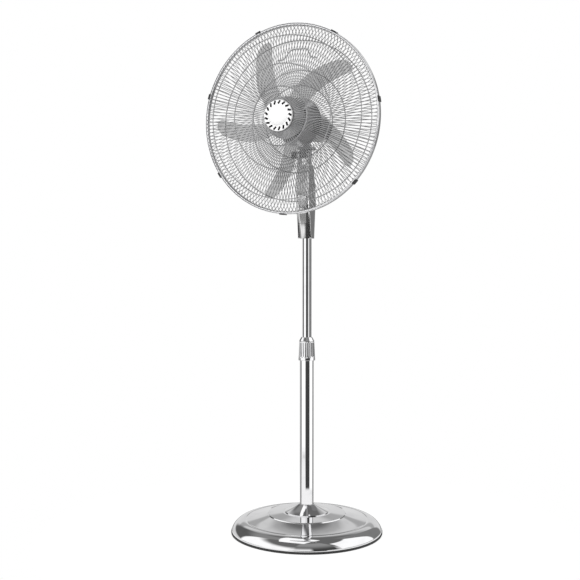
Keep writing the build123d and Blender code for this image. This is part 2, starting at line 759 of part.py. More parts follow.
def motor_shaft():
    """Shaft with the worm rolled on its rear end and a cross hole for the drive pin."""
    shaft = fan_rod(SHAFT_R, worm_ahead() - WORM_L, shaft_front())
    shaft += fan_rod(WORM_R, worm_ahead() - WORM_L, worm_ahead())
    return shaft - rod((-DRIVE_PIN_L, RIM_Y - HUB_BACK, AXIS_Z), (1, 0, 0), DRIVE_PIN_R, 2 * DRIVE_PIN_L)


def drive_pin():
    return rod((-DRIVE_PIN_L / 2, RIM_Y - HUB_BACK, AXIS_Z), (1, 0, 0), DRIVE_PIN_R, DRIVE_PIN_L)


def gearbox_housing():
    """End plate of the motor with the worm's case behind it and the swivel socket below."""
    front = gear_front()
    plate_back = front - GEAR_PLATE_T
    x0 = wheel_x() - WHEEL_R - BODY_GAP
    x1 = WORM_R + BODY_GAP
    y0 = RIM_Y - plate_back + GEAR_WALL
    y1 = wheel_y() + WHEEL_R + BODY_GAP
    z0, z1 = AXIS_Z - GEAR_H / 2, AXIS_Z + GEAR_H / 2
    wall = GEAR_WALL
    room = box(x0, x1, y0, y1, z0 + wall, z1 - wall)
    case = box(x0 - wall, x1 + wall, RIM_Y - front, y1 + wall, z0, z1)
    foot = TABLE_Z + TABLE_T + BODY_GAP
    body = fan_rod(cover_radius(plate_back) - MOTOR_WALL - BODY_GAP, plate_back, front)
    body += case
    body += post(0, 0, foot, z0 + wall, PIVOT_R + RUN_FIT + SOCKET_BOSS_WALL)
    body -= room
    body -= post(0, 0, foot - OVERCUT, PIVOT_TOP + BODY_GAP, PIVOT_R + RUN_FIT)
    body -= fan_rod(SHAFT_R + RUN_FIT + BUSH_WALL, plate_back - wall, front + OVERCUT)
    body -= post(wheel_x(), wheel_y(), z0 - OVERCUT, AXIS_Z, CRANK_SHAFT_R + RUN_FIT)
    return body - post(wheel_x(), wheel_y(), AXIS_Z, z1 + OVERCUT, KNOB_STEM_R + RUN_FIT)


def worm_wheel():
    """Wheel beside the worm, with the crank's shaft going down through the case."""
    wheel = post(wheel_x(), wheel_y(), AXIS_Z - WHEEL_T / 2, AXIS_Z + WHEEL_T / 2, WHEEL_R)
    return wheel + post(wheel_x(), wheel_y(), CRANK_Z + CRANK_T, AXIS_Z, CRANK_SHAFT_R)


def crank():
    disc = post(wheel_x(), wheel_y(), CRANK_Z, CRANK_Z + CRANK_T, CRANK_R)
    tip = LINK_Z + LINK_T + BODY_GAP
    return disc + post(wheel_x() - CRANK_THROW, wheel_y(), tip, CRANK_Z, CRANK_PIN_R)


def oscillation_knob():
    """Pull knob over the worm wheel; lifting it frees the wheel."""
    x, y = wheel_x(), wheel_y()
    seat = AXIS_Z + cover_radius(WHEEL_BACK) + KNOB_ROOM
    stem = post(x, y, AXIS_Z + WHEEL_T / 2 + BODY_GAP, seat, KNOB_STEM_R)
    cap = post(x, y, seat, seat + KNOB_H, KNOB_R)
    return stem + fillet(cap.edges().group_by(Axis.Z)[-1], KNOB_R / 4)


def capacitor():
    width, height, depth = CAPACITOR_SIZE
    y = RIM_Y - CAPACITOR_BACK
    foot = AXIS_Z + cover_radius(CAPACITOR_BACK) - MOTOR_WALL
    top = sqrt((foot - AXIS_Z) ** 2 - (width / 2) ** 2) + AXIS_Z - BODY_GAP
    return box(-width / 2, width / 2, y - depth, y, top - height, top)


# Blades


def blade(first):
    """One swept blade through stations at right angles to its own radius, its clockwise edge behind."""
    sections = []
    for radius, turn, width, pitch, ahead in BLADE_STATIONS:
        chord = width / cos(radians(pitch))
        place = Plane(origin=(0, RIM_Y, AXIS_Z), x_dir=(0, 0, 1), z_dir=(1, 0, 0))
        outline = Rot(0, 0, pitch) * Rectangle(chord, BLADE_T)
        section = place * Pos(0, ahead, radius) * outline
        sections.append(section.rotate(FAN_AXIS, first + turn))
    return loft(sections)


def fan_blades():
    hub = fan_rod(HUB_R, HUB_BACK - 2 * HUB_R, HUB_FRONT + 2 * HUB_R)
    tips = [BLADE_TIP_AT + 360 * i / BLADES for i in range(BLADES)]
    return group([blade(tip) - hub for tip in tips])


def blade_hub():
    """Cup that the blades stand on, open at the back, with a boss on the shaft."""
    wall = HUB_WALL
    edge = HUB_BACK + HUB_BOSS_OUT
    cup = turned((HUB_R - wall, edge), (HUB_R, edge), (HUB_R, HUB_FRONT), (SHAFT_R, HUB_FRONT), (SHAFT_R, HUB_BACK),
                 (HUB_BOSS_R, HUB_BACK), (HUB_BOSS_R, HUB_FRONT - wall), (HUB_R - wall, HUB_FRONT - wall))
    return cup - rod((-DRIVE_PIN_L, RIM_Y - HUB_BACK, AXIS_Z), (1, 0, 0), DRIVE_PIN_R, 2 * DRIVE_PIN_L)


def fan_cap(radius, foot, brow, top):
    """Disc whose front is a shallow dome, upright at its edge from foot to brow."""
    rise = top - brow
    ball = (radius ** 2 + rise ** 2) / (2 * rise)
    return fan_rod(radius, foot, top) & Pos(0, RIM_Y - top + ball, AXIS_Z) * Sphere(ball)


def spinner_cap():
    """Domed nut cover in front of the hub, with a boss screwed on the shaft's end."""
    wall = SPINNER_WALL
    foot = HUB_FRONT
    brow = foot + SPINNER_EDGE
    top = foot + SPINNER_RISE
    dome = fan_cap(SPINNER_R, foot, brow, top) - fan_cap(SPINNER_R - wall, foot, brow, top - wall)
    boss = fan_rod(HUB_BOSS_R, foot, top - 1.5 * wall)
    return dome + boss - fan_rod(SHAFT_R, foot - OVERCUT, shaft_front())


# Guards


def rim_point(side):
    """Centre of a guard half's rim wire, the front half on side +1."""
    return (BAND_R - BAND_WALL - RIM_WIRE_R, side * (RIM_WIRE_R + WELD / 2))


def dome_ahead(radius):
    """Centre line of the front spokes, which follow one large arc."""
    return DOME_AHEAD - DOME_R + sqrt(DOME_R ** 2 - radius ** 2)


def front_corner():
    """Centre of the corner arc: tangent to the dome inside it, through the rim wire."""
    rim = rim_point(1)
    centre = (0.0, DOME_AHEAD - DOME_R)
    span = hypot(rim[0] - centre[0], rim[1] - centre[1])
    from_dome = DOME_R - FRONT_CORNER_R
    along = (span ** 2 + from_dome ** 2 - FRONT_CORNER_R ** 2) / (2 * span)
    aside = sqrt(from_dome ** 2 - along ** 2)
    ux, uy = (rim[0] - centre[0]) / span, (rim[1] - centre[1]) / span
    return (centre[0] + along * ux - aside * uy, centre[1] + along * uy + aside * ux)


def front_spoke(inner_r):
    """Wire from the centre of the front guard to its rim: the dome, then the corner."""
    corner = front_corner()
    rim = rim_point(1)
    low = asin(inner_r / DOME_R)
    high = atan2(corner[0], corner[1] - DOME_AHEAD + DOME_R)
    dome = JernArc((inner_r, dome_ahead(inner_r)), (cos(low), -sin(low)), DOME_R, -degrees(high - low))
    start, end = dome @ 1, rim
    turn = degrees(atan2(start.X - corner[0], start.Y - corner[1]) - atan2(end[0] - corner[0], end[1] - corner[1]))
    bend = JernArc(start, dome % 1, FRONT_CORNER_R, turn)
    return wire_along([dome, bend])


def rear_ahead(radius):
    return REAR_FLAT_AHEAD + (radius - REAR_FLAT_R) * tan(radians(REAR_CONE))


def rear_corner():
    """Centre of the rear corner arc: tangent to the dish, through the rim wire."""
    rim = rim_point(-1)
    slope = radians(REAR_CONE)
    along, up = (cos(slope), sin(slope)), (-sin(slope), cos(slope))
    dx, dy = rim[0] - REAR_FLAT_R, rim[1] - REAR_FLAT_AHEAD
    reach, height = dx * along[0] + dy * along[1], dx * up[0] + dy * up[1]
    back = sqrt(REAR_CORNER_R ** 2 - (height - REAR_CORNER_R) ** 2)
    run = reach - back
    return (REAR_FLAT_R + run * along[0] + REAR_CORNER_R * up[0],
            REAR_FLAT_AHEAD + run * along[1] + REAR_CORNER_R * up[1])


def rear_spoke(inner_r):
    """Wire of the rear guard: straight up the dish, then the corner to the rim."""
    corner = rear_corner()
    rim = rim_point(-1)
    slope = radians(REAR_CONE)
    foot = (corner[0] + REAR_CORNER_R * sin(slope), corner[1] - REAR_CORNER_R * cos(slope))
    dish = Line((inner_r, rear_ahead(inner_r)), foot)
    turn = degrees(atan2(rim[1] - corner[1], rim[0] - corner[0])) + 90 - REAR_CONE
    bend = JernArc(dish @ 1, dish % 1, REAR_CORNER_R, turn)
    return wire_along([dish, bend])


def wire_along(edges):
    path = Wire([edge.edge() for edge in edges])
    section = Plane(origin=path @ 0, z_dir=path % 0) * RegularPolygon(SPOKE_R, SPOKE_SIDES)
    return FAN * sweep(section, path=path)


def guard_spokes(spoke, long_r, short_r):
    """Long and short spokes in turn all round a guard."""
    step = 360.0 / SPOKES
    return group(round_the_fan(spoke(long_r), SPOKES // 2) + round_the_fan(spoke(short_r), SPOKES // 2, step))


def front_guard_spokes():
    return guard_spokes(front_spoke, FRONT_PLATE_R - SPOKE_LAP, FRONT_RINGS[0] - RING_R)


def rear_guard_spokes():
    return guard_spokes(rear_spoke, REAR_FLAT_R - SPOKE_LAP, REAR_RINGS[0] - RING_R)


def ring_at(radius, ahead, wire_r):
    return Plane(origin=(0, RIM_Y - ahead, AXIS_Z), z_dir=(0, -1, 0)) * Torus(radius, wire_r)


def front_guard_rings():
    drop = SPOKE_R + RING_R - WELD
    rings = [ring_at(r, dome_ahead(r) - drop, RING_R) for r in FRONT_RINGS]
    return group(rings + [ring_at(*rim_point(1), RIM_WIRE_R)])


def rear_guard_rings():
    drop = SPOKE_R + RING_R - WELD
    rings = [ring_at(r, rear_ahead(r) - drop, RING_R) for r in REAR_RINGS]
    return group(rings + [ring_at(*rim_point(-1), RIM_WIRE_R)])


def front_guard_plate():
    back = dome_ahead(FRONT_PLATE_R) - SPOKE_R + WELD
    return fan_rod(FRONT_PLATE_R, back - FRONT_PLATE_T, back)


def rear_guard_plate():
    """Steel disc between the motor's face and the guard nut."""
    back = REAR_FLAT_AHEAD + SPOKE_R - WELD
    return fan_tube(REAR_FLAT_R, NOSE_R + RUN_FIT, back, back + REAR_PLATE_T)


def guard_nut():
    back = REAR_FLAT_AHEAD + SPOKE_R - WELD + REAR_PLATE_T
    return fan_tube(NUT_R, NOSE_R, back, back + NUT_T)


def carry_handle():
    """Bent wire on the back of the rear guard, welded to its spokes near the top."""
    lean = REAR_CONE + HANDLE_LEAN
    start = rear_ahead(HANDLE_UP) - SPOKE_R - HANDLE_R + WELD
    plane = Plane(origin=(0, RIM_Y - start, AXIS_Z + HANDLE_UP), x_dir=(1, 0, 0),
                  z_dir=(0, -cos(radians(lean)), sin(radians(lean))))
    shoulder = (HANDLE_FOOT + HANDLE_TOP) / 2
    path = FilletPolyline((-HANDLE_FOOT, 0), (-shoulder, 0), (-HANDLE_TOP, HANDLE_RISE), (HANDLE_TOP, HANDLE_RISE),
                          (shoulder, 0), (HANDLE_FOOT, 0), radius=HANDLE_BEND)
    section = Plane(origin=path @ 0, z_dir=path % 0) * Circle(HANDLE_R)
    return plane * sweep(section, path=path)


def guard_rim_band():
    half = BAND_W / 2
    inner = BAND_R - BAND_WALL
    return turned((inner, -half), (BAND_R, -half), (BAND_R, half), (inner, half))


def guard_clips():
    """Clips that grip the rim band and hook over both guards' rim wires."""
    half = BAND_W / 2
    top = BAND_R + CLIP_T
    outline = Polyline((BAND_R, -half), (BAND_R, half), (BAND_R - CLIP_LIP, half), (BAND_R - CLIP_LIP, half + CLIP_T),
                       (top, half + CLIP_T), (top, -half - CLIP_T), (BAND_R - CLIP_LIP, -half - CLIP_T),
                       (BAND_R - CLIP_LIP, -half), close=True)
    clip = extrude(FAN * make_face(outline), CLIP_W / 2, both=True)
    return group([clip.rotate(FAN_AXIS, CLIP_AT + 360 * i / CLIPS) for i in range(CLIPS)])


def badge_seat():
    return dome_ahead(FRONT_PLATE_R) + SPOKE_R + (dome_ahead(0) - dome_ahead(FRONT_PLATE_R))


def badge():
    """Plain domed disc in the middle of the front guard."""
    brow = badge_seat() + BADGE_T
    return fan_cap(BADGE_R, badge_seat(), brow, brow + BADGE_CROWN)


def badge_vent_ring():
    """Ring round the badge with slanted slots."""
    foot = badge_seat()
    top = foot + VENT_RING_T
    ring = turned((BADGE_R, foot), (VENT_RING_R, foot), (VENT_RING_R, top - 0.7 * VENT_RING_BEVEL),
                  (VENT_RING_R - VENT_RING_BEVEL, top), (BADGE_R, top))
    middle = (BADGE_R + VENT_RING_R) / 2
    length = VENT_RING_R - BADGE_R - 2 * SLOT_MARGIN
    slot = Pos(middle, 0) * Rot(0, 0, -SLOT_SLANT) * RectangleRounded(length, SLOT_W, SLOT_CORNER)
    face = Plane(origin=(0, RIM_Y - foot + OVERCUT, AXIS_Z), x_dir=(1, 0, 0), z_dir=(0, -1, 0))
    cut = extrude(face * slot, VENT_RING_T + 2 * OVERCUT)
    return ring - round_the_fan(cut, BADGE_SLOTS)


PARTS = [
    base_cover, base_weight, base_bottom_plate, base_edge_trim, pole_socket, socket_screws, pole_plug,
    pole_bolt, pole_escutcheon, lower_tube, clamp_collet, height_collar, collar_cap, upper_tube, tube_guide,
    neck_lower_cover, control_panel, neck_upper_cover, neck_rear_shell, switch_block, neck_clamp_screw,
    cord_gland, tilt_pin, tilt_lock_knob, tilt_bracket, swivel_pin, crank_link, motor_front_cover,
    motor_rear_cover, stator_core, stator_windings, rotor_core, front_bush, rear_bush, motor_shaft, drive_pin,
    gearbox_housing, worm_wheel, crank, oscillation_knob, capacitor, fan_blades, blade_hub, spinner_cap,
    front_guard_spokes, rear_guard_spokes, front_guard_rings, rear_guard_rings, front_guard_plate,
    rear_guard_plate, guard_nut, carry_handle, guard_rim_band, guard_clips, badge, badge_vent_ring,
]

os.makedirs("parts", exist_ok=True)
for make in PARTS:
    export_step(make(), f"parts/{make.__name__}.step")
for i in range(KEYS):
    export_step(speed_key(i), f"parts/speed_key_{i}.step")
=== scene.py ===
from math import acos, atan2, cos, hypot, pi, radians, sin, sqrt, tan

import bmesh
import bpy
from mathutils import Matrix, Vector


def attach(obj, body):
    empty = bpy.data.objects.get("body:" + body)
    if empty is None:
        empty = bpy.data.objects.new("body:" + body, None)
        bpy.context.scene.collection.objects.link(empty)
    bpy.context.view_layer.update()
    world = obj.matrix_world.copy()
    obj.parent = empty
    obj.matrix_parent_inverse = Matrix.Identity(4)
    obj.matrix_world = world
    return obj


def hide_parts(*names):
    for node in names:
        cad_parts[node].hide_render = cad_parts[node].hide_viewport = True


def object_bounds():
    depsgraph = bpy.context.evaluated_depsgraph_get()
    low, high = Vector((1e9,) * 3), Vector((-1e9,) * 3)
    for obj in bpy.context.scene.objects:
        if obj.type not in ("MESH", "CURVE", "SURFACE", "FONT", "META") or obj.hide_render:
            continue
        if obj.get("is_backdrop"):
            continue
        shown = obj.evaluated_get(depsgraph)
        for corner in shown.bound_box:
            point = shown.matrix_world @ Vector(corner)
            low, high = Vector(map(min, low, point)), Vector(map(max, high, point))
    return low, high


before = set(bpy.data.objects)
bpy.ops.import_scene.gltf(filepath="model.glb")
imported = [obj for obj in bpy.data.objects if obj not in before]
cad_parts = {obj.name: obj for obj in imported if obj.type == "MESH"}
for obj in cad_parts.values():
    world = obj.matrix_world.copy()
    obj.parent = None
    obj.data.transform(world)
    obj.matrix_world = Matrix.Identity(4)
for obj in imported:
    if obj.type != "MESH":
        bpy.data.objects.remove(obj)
cad_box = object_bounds()


# Edge trim: a ring of black rubber pressed over the foot of the base cover. The fan stands on it, and it shows as
# the thin dark line under the base.

BASE_R = 0.1965
TRIM_OUT = 0.0015
TRIM_H = 0.006
TRIM_LEDGE = 0.0035
TRIM_W = 0.016
EDGE_ANGLE = 35
SAME_PLACE = 0.000002


class Shade:
    """A socket of a finish. Arithmetic on it adds Math nodes, and make() adds any other node."""

    def __init__(self, tree, socket=None):
        self.tree = tree
        self.socket = socket

    def make(self, kind, settings=None, sockets=None, out=0):
        node = self.tree.nodes.new("ShaderNode" + kind)
        for key, value in (settings or {}).items():
            setattr(node, key, value)
        for key, value in (sockets or {}).items():
            if isinstance(value, Shade):
                self.tree.links.new(value.socket, node.inputs[key])
            else:
                node.inputs[key].default_value = value
        return Shade(self.tree, node.outputs[out]) if node.outputs else None

    def sum(self, operation, first, second=0.0):
        return self.make("Math", {"operation": operation}, {0: first, 1: second})

    def __add__(self, other):
        return self.sum("ADD", self, other)

    __radd__ = __add__

    def __sub__(self, other):
        return self.sum("SUBTRACT", self, other)

    def __rsub__(self, other):
        return self.sum("SUBTRACT", other, self)

    def __mul__(self, other):
        return self.sum("MULTIPLY", self, other)

    __rmul__ = __mul__

    def between(self, low, high):
        """0 at low, 1 at high, eased in between."""
        return self.make("MapRange", {"interpolation_type": "SMOOTHSTEP"},
                         {"Value": self, "From Min": low, "From Max": high})

    def tint(self, dark, light):
        """Colour that runs from dark to light as this value goes from 0 to 1."""
        return self.make("Mix", {"data_type": "RGBA"}, {"Factor": self, 6: (*dark, 1.0), 7: (*light, 1.0)}, 2)


def open_finish(name):
    """New material and a way into its node tree."""
    paint = bpy.data.materials.new(name)
    paint.use_nodes = True
    paint.node_tree.nodes.clear()
    return paint, Shade(paint.node_tree)


def close_finish(shade, colour, roughness, relief, depth, **fixed):
    """Principled shader of a finish; relief is a height, and depth is its size in metres."""
    bump = shade.make("Bump", {}, {"Height": relief, "Distance": depth, "Strength": 1.0})
    sockets = {"Base Color": colour, "Roughness": roughness, "Normal": bump, **fixed}
    surface = shade.make("BsdfPrincipled", {}, sockets)
    shade.make("OutputMaterial", {}, {"Surface": surface})


def clouds(shade, size, detail, stretch=(1.0, 1.0, 1.0)):
    """Soft noise whose patches are about this many metres across, 0 to 1."""
    place = shade.make("TexCoord", out="Object")
    place = shade.make("Mapping", {}, {"Vector": place, "Scale": stretch})
    return shade.make("TexNoise", {}, {"Vector": place, "Scale": 1.0 / size, "Detail": detail}, "Fac")


def worked(name, dark, light, gloss, patch, grain, relief, broad=False, **fixed):
    """Finish whose tone drifts in patches and whose surface has a fine grain; patch and grain are (size, detail).
    Gloss is the lowest and highest roughness, which follows the grain, or the patches if broad."""
    paint, shade = open_finish(name)
    drift = clouds(shade, *patch)
    fine = clouds(shade, *grain)
    low, high = gloss
    rough = low + (high - low) * (drift if broad else fine)
    close_finish(shade, drift.tint(dark, light), rough, fine, relief, **fixed)
    return paint


def swung(middle, arm, turn, count):
    """Points on an arc: the end of an arm that is swung round a middle."""
    points = []
    for k in range(count + 1):
        spoke = arm.copy()
        spoke.rotate(Matrix.Rotation(-turn * k / count, 2))
        points.append(tuple(middle + spoke))
    return points


def rounded(*corners, steps=5):
    """Outline with its corners turned into arcs. A corner is (u, v), or (u, v, radius)."""
    points = []
    for i, corner in enumerate(corners):
        here = Vector(corner[:2])
        radius = corner[2] if len(corner) > 2 else 0.0
        before = Vector(corners[i - 1][:2]) - here
        after = Vector(corners[(i + 1) % len(corners)][:2]) - here
        if radius == 0.0:
            points.append(tuple(here))
            continue
        half = before.angle(after) / 2
        reach = min(radius / tan(half), 0.49 * before.length, 0.49 * after.length)
        radius = reach * tan(half)
        middle = here + (before.normalized() + after.normalized()).normalized() * (radius / sin(half))
        start = here + before.normalized() * reach - middle
        end = here + after.normalized() * reach - middle
        points += swung(middle, start, start.angle_signed(end), steps)
    return points


def upright(radius, height, angle):
    """Place on a piece that is turned about the pole."""
    return (radius * cos(angle), radius * sin(angle), height)


def held(outline, near=0.0006):
    """Outline with a point close to both ends of each long run, so that the run is shaded as straight."""
    points = []
    for here, there in zip(outline, outline[1:] + outline[:1]):
        points.append(here)
        run = Vector(there) - Vector(here)
        if run.length > 10 * near and max(here[0], there[0]) > near:
            step = run.normalized() * near
            points += [tuple(Vector(here) + step), tuple(Vector(there) - step)]
    return points


def quads(rows, count, loop=False):
    """Faces of a skin whose points lie in rows, each a closed ring; loop joins the last row to the first."""
    faces = []
    for r in range(rows if loop else rows - 1):
        a, b = r * count, (r + 1) % rows * count
        for i in range(count):
            j = (i + 1) % count
            faces.append((a + i, a + j, b + j, b + i))
    return faces


def spun(name, outline, place=upright, turns=192, ripple=None, crease=EDGE_ANGLE):
    """Mesh turned on a lathe from a closed outline of (radius, height) points."""
    outline = held(outline)
    verts = []
    for k in range(turns):
        angle = 2 * pi * k / turns
        for radius, height in outline:
            r = ripple(radius, height, angle) if ripple else radius
            verts.append(place(r, height, angle))
    return solid(name, verts, quads(turns, len(outline), True), crease)


def solid(name, verts, faces, crease=EDGE_ANGLE):
    """Object from points and faces, with its normals outward and its edges sharp above an angle."""
    mesh = bpy.data.meshes.new(name)
    mesh.from_pydata(verts, [], faces)
    work = bmesh.new()
    work.from_mesh(mesh)
    bmesh.ops.remove_doubles(work, verts=work.verts, dist=SAME_PLACE)
    bmesh.ops.dissolve_degenerate(work, edges=work.edges, dist=SAME_PLACE / 2)
    bmesh.ops.recalc_face_normals(work, faces=work.faces)
    work.to_mesh(mesh)
    work.free()
    mesh.shade_smooth()
    mesh.set_sharp_from_angle(angle=radians(crease))
    piece = bpy.data.objects.new(name, mesh)
    bpy.context.scene.collection.objects.link(piece)
    return piece


def fit(piece, paint, body, slot, *nodes):
    """Gives a piece its finish and fixes it to the frame in place of its nodes."""
    piece.data.materials.clear()
    piece.data.materials.append(paint)
    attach(piece, body)
    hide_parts(*nodes)
    return piece


def dress(paint, *nodes):
    """Gives carried-over nodes a finish."""
    for node in nodes:
        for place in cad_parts[node].material_slots:
            place.material = paint


trim_r = BASE_R + TRIM_OUT
trim = spun("edge_trim", rounded(
    (trim_r - TRIM_W, 0.0, 0.0008), (trim_r, 0.0, 0.0014), (trim_r, TRIM_H, 0.0007), (BASE_R, TRIM_H, 0.0003),
    (BASE_R, TRIM_LEDGE), (trim_r - TRIM_W, TRIM_LEDGE)))
trim_rubber = worked("trim_rubber", (0.008, 0.008, 0.008), (0.020, 0.020, 0.021), (0.45, 0.70), (0.02, 2.0),
                     (0.0006, 1.0), 0.00003, broad=True)
fit(trim, trim_rubber, "base", "rubber_black", "base_edge_trim")


# Base cover: a dish spun from sheet steel in steps, polished and chromed. Its edge is a domed band, with a groove
# where the band meets the hollow ring inside it, and a low round step carries the foot of the pole.

BASE_WALL = 0.0015
LIP_Z = 0.009
BAND_MID = (0.1857, 0.025)
GROOVE = 0.0006
GROOVE_HALF = 0.0008
CREASE_R = 0.1583
CREASE_Z = 0.0348
COVE_FOOT = (0.1025, 0.0479)
COVE_SLOPE = 0.14
TIER = (0.101, 0.0505)
PLATEAU_R = 0.064
PLATEAU_Z = 0.054
POLE_BOLT_R = 0.005
STEEP_BELOW = 0.03


def chrome(name, bright, haze):
    """Polished plate with faint handling marks and a trace of waviness from the polishing wheel."""
    paint, shade = open_finish(name)
    smear = clouds(shade, 0.03, 4.0, (1.0, 1.0, 2.5)).between(0.45, 0.75)
    wave = clouds(shade, 0.012, 1.0)
    low = bright - 0.06
    colour = smear.tint((bright, bright, bright * 1.01), (low, low, low * 1.015))
    close_finish(shade, colour, haze + 0.035 * smear, wave, 0.000006, Metallic=1.0)
    return paint


def arc_through(start, middle, end, count):
    """Points on the arc through three points, both ends included."""
    (ax, ay), (bx, by), (cx, cy) = start, middle, end
    twice = 2 * (ax * (by - cy) + bx * (cy - ay) + cx * (ay - by))
    a, b, c = ax * ax + ay * ay, bx * bx + by * by, cx * cx + cy * cy
    hub = Vector(((a * (by - cy) + b * (cy - ay) + c * (ay - by)) / twice,
                  (a * (cx - bx) + b * (ax - cx) + c * (bx - ax)) / twice))
    arm, last = Vector(start) - hub, Vector(end) - hub
    return swung(hub, arm, arm.angle_signed(last), count)


def base_profile():
    """Outside of the cover from its foot to the bolt's hole: band, groove, cove, lip and step."""
    points = [(BASE_R, TRIM_LEDGE)] + arc_through((BASE_R, LIP_Z), BAND_MID, (CREASE_R, CREASE_Z), 30)[:-1]
    points += [(CREASE_R + GROOVE_HALF, CREASE_Z - GROOVE * 0.4), (CREASE_R, CREASE_Z - GROOVE),
               (CREASE_R - GROOVE_HALF, CREASE_Z - GROOVE * 0.3)]
    run = CREASE_R - COVE_FOOT[0]
    lift = COVE_FOOT[1] - CREASE_Z - COVE_SLOPE * run
    cove = [(CREASE_R - run * t, CREASE_Z + COVE_SLOPE * run * t + lift * t * t) for t in [k / 24 for k in range(25)]]
    points += cove[1:-1]
    points += rounded(cove[-2], (*COVE_FOOT, 0.0006), (*TIER, 0.0012), (PLATEAU_R, PLATEAU_Z), steps=8)[1:-1]
    return points + [(PLATEAU_R, PLATEAU_Z), (POLE_BOLT_R, PLATEAU_Z)]


outside = base_profile()
inside = [(max(r - BASE_WALL * (1.0 if z < STEEP_BELOW else 0.2), POLE_BOLT_R), z - (0.0 if z < LIP_Z else BASE_WALL))
          for r, z in outside]
base_cover = spun("base_cover_shell", outside + inside[::-1], turns=288, crease=25)
fit(base_cover, chrome("base_chrome", 0.76, 0.03), "base", "chrome", "base_cover")


# Inside the base: an iron weight, the steel plate that closes it, and the flanged socket with its screws, plug and
# bolt. They hardly show, and keep the solids of the frame.


def metal(name, dark, light, low, high, size=0.004, relief=0.00002):
    """Plain worked metal: patchy in tone, with a fine grain."""
    return worked(name, dark, light, (low, high), (size * 6, 3.0), (size / 8, 2.0), relief, Metallic=1.0)


bright_steel = metal("bright_steel", (0.50, 0.50, 0.51), (0.62, 0.62, 0.63), 0.18, 0.38)
weight_iron = worked("weight_iron", (0.05, 0.05, 0.052), (0.12, 0.115, 0.11), (0.6, 0.85), (0.02, 4.0), (0.0012, 3.0),
                     0.0002, Metallic=0.6)
dress(weight_iron, "base_weight")
dress(bright_steel, "base_bottom_plate", "pole_socket", "socket_screws", "pole_bolt")


# Pole foot: a flared cover pressed from sheet steel and chromed. It slides down the pole, rests on the step of the
# base and hides the socket.

CONE_R = 0.057
CONE_EDGE = 0.0018
CONE_WALL = 0.0012
CONE_RISE = 0.0208
CONE_MID = (0.038, 0.0102)
CONE_BORE = 0.0186

flare = arc_through((CONE_R, PLATEAU_Z + CONE_EDGE), (CONE_MID[0], PLATEAU_Z + CONE_MID[1]),
                    (CONE_BORE + CONE_WALL, PLATEAU_Z + CONE_RISE), 32)
foot_edge = [(CONE_R - CONE_WALL, PLATEAU_Z), (CONE_R - 0.0003, PLATEAU_Z), (CONE_R, PLATEAU_Z + 0.0003),
             (CONE_R, PLATEAU_Z + CONE_EDGE - 0.0006)]
flare_in = [(max(r - CONE_WALL, CONE_BORE), z - CONE_WALL * 0.9) for r, z in flare[1:]]
escutcheon = spun("pole_escutcheon_cover", foot_edge + flare + [(CONE_BORE, flare[-1][1])] + flare_in[::-1],
                  turns=160, crease=40)
fit(escutcheon, chrome("escutcheon_chrome", 0.78, 0.03), "base", "chrome", "pole_escutcheon")


# Lower tube: drawn steel tube, chromed, standing in the socket with a bolt up its foot. Nylon pieces inside it plug
# its foot, grip the upper tube and guide it.

TUBE_R = 0.018
TUBE_WALL = 0.0015
TUBE_FOOT = 0.057
TUBE_TOP = 0.4695


def moulded(name, dark, light, low=0.35, high=0.55, size=0.0009, relief=0.00003, **fixed):
    """Injection-moulded plastic with a fine spark-eroded texture."""
    return worked(name, dark, light, (low, high), (0.025, 3.0), (size, 2.0), relief, **fixed)


tube_chrome = chrome("tube_chrome", 0.84, 0.025)
lower_tube = spun("lower_tube_pole", rounded(
    (TUBE_R - TUBE_WALL, TUBE_FOOT), (TUBE_R, TUBE_FOOT), (TUBE_R, TUBE_TOP, 0.0006),
    (TUBE_R - TUBE_WALL, TUBE_TOP, 0.0004)), turns=128)
fit(lower_tube, tube_chrome, "base", "chrome", "lower_tube")
nylon = moulded("guide_nylon", (0.62, 0.61, 0.57), (0.72, 0.71, 0.67))
dress(nylon, "pole_plug", "clamp_collet", "tube_guide", "worm_wheel")


# Height collar: a chromed twist nut over the mouth of the lower tube, fluted for grip above a smooth band. Turning it
# closes the collet on the upper tube, and a cone closes it at the top.

COLLAR_FOOT = 0.4515
COLLAR_TOP = 0.501
COLLAR_R = 0.0218
COLLAR_TOP_R = 0.0200
COLLAR_BAND = 0.008
COLLAR_BORE = 0.0186
BARREL_BORE = 0.0164
COLLAR_SEAT = 0.4721
FLUTES = 16
FLUTE_DEPTH = 0.0009
COLLAR_BEVEL = 0.0008
CAP_FOOT = 0.5016
CAP_H = 0.0105
CAP_R = 0.0146
CAP_BORE = 0.0131


def fluted(radius, height, angle):
    """Scallops round the collar, fading out towards its smooth band and its top edge."""
    if radius < COLLAR_BORE + 0.0005:
        return radius
    up = min(max((height - COLLAR_FOOT - COLLAR_BAND) / 0.003, 0.0), 1.0)
    down = min(max((COLLAR_TOP - 0.0005 - height) / 0.001, 0.0), 1.0)
    wave = abs(sin(FLUTES * angle / 2)) ** 0.55
    return radius - FLUTE_DEPTH * (1.0 - wave) * up * (0.4 + 0.6 * down)


def collar_outside():
    """Smooth band, fluted taper in short steps, top edge, and the bore down to the seat."""
    band_top, taper_top = COLLAR_FOOT + COLLAR_BAND, COLLAR_TOP - COLLAR_BEVEL
    points = [(COLLAR_BORE, COLLAR_FOOT), (COLLAR_R - 0.0006, COLLAR_FOOT), (COLLAR_R, COLLAR_FOOT + 0.0006),
              (COLLAR_R, band_top - 0.0006), (COLLAR_R - 0.0005, band_top)]
    for t in [k / 20 for k in range(1, 20)]:
        points.append((COLLAR_R + (COLLAR_TOP_R - COLLAR_R) * t, band_top + (taper_top - band_top) * t))
    return points + [(COLLAR_TOP_R, taper_top), (COLLAR_TOP_R - COLLAR_BEVEL, COLLAR_TOP), (BARREL_BORE, COLLAR_TOP),
                     (BARREL_BORE, COLLAR_SEAT), (COLLAR_BORE, COLLAR_SEAT)]


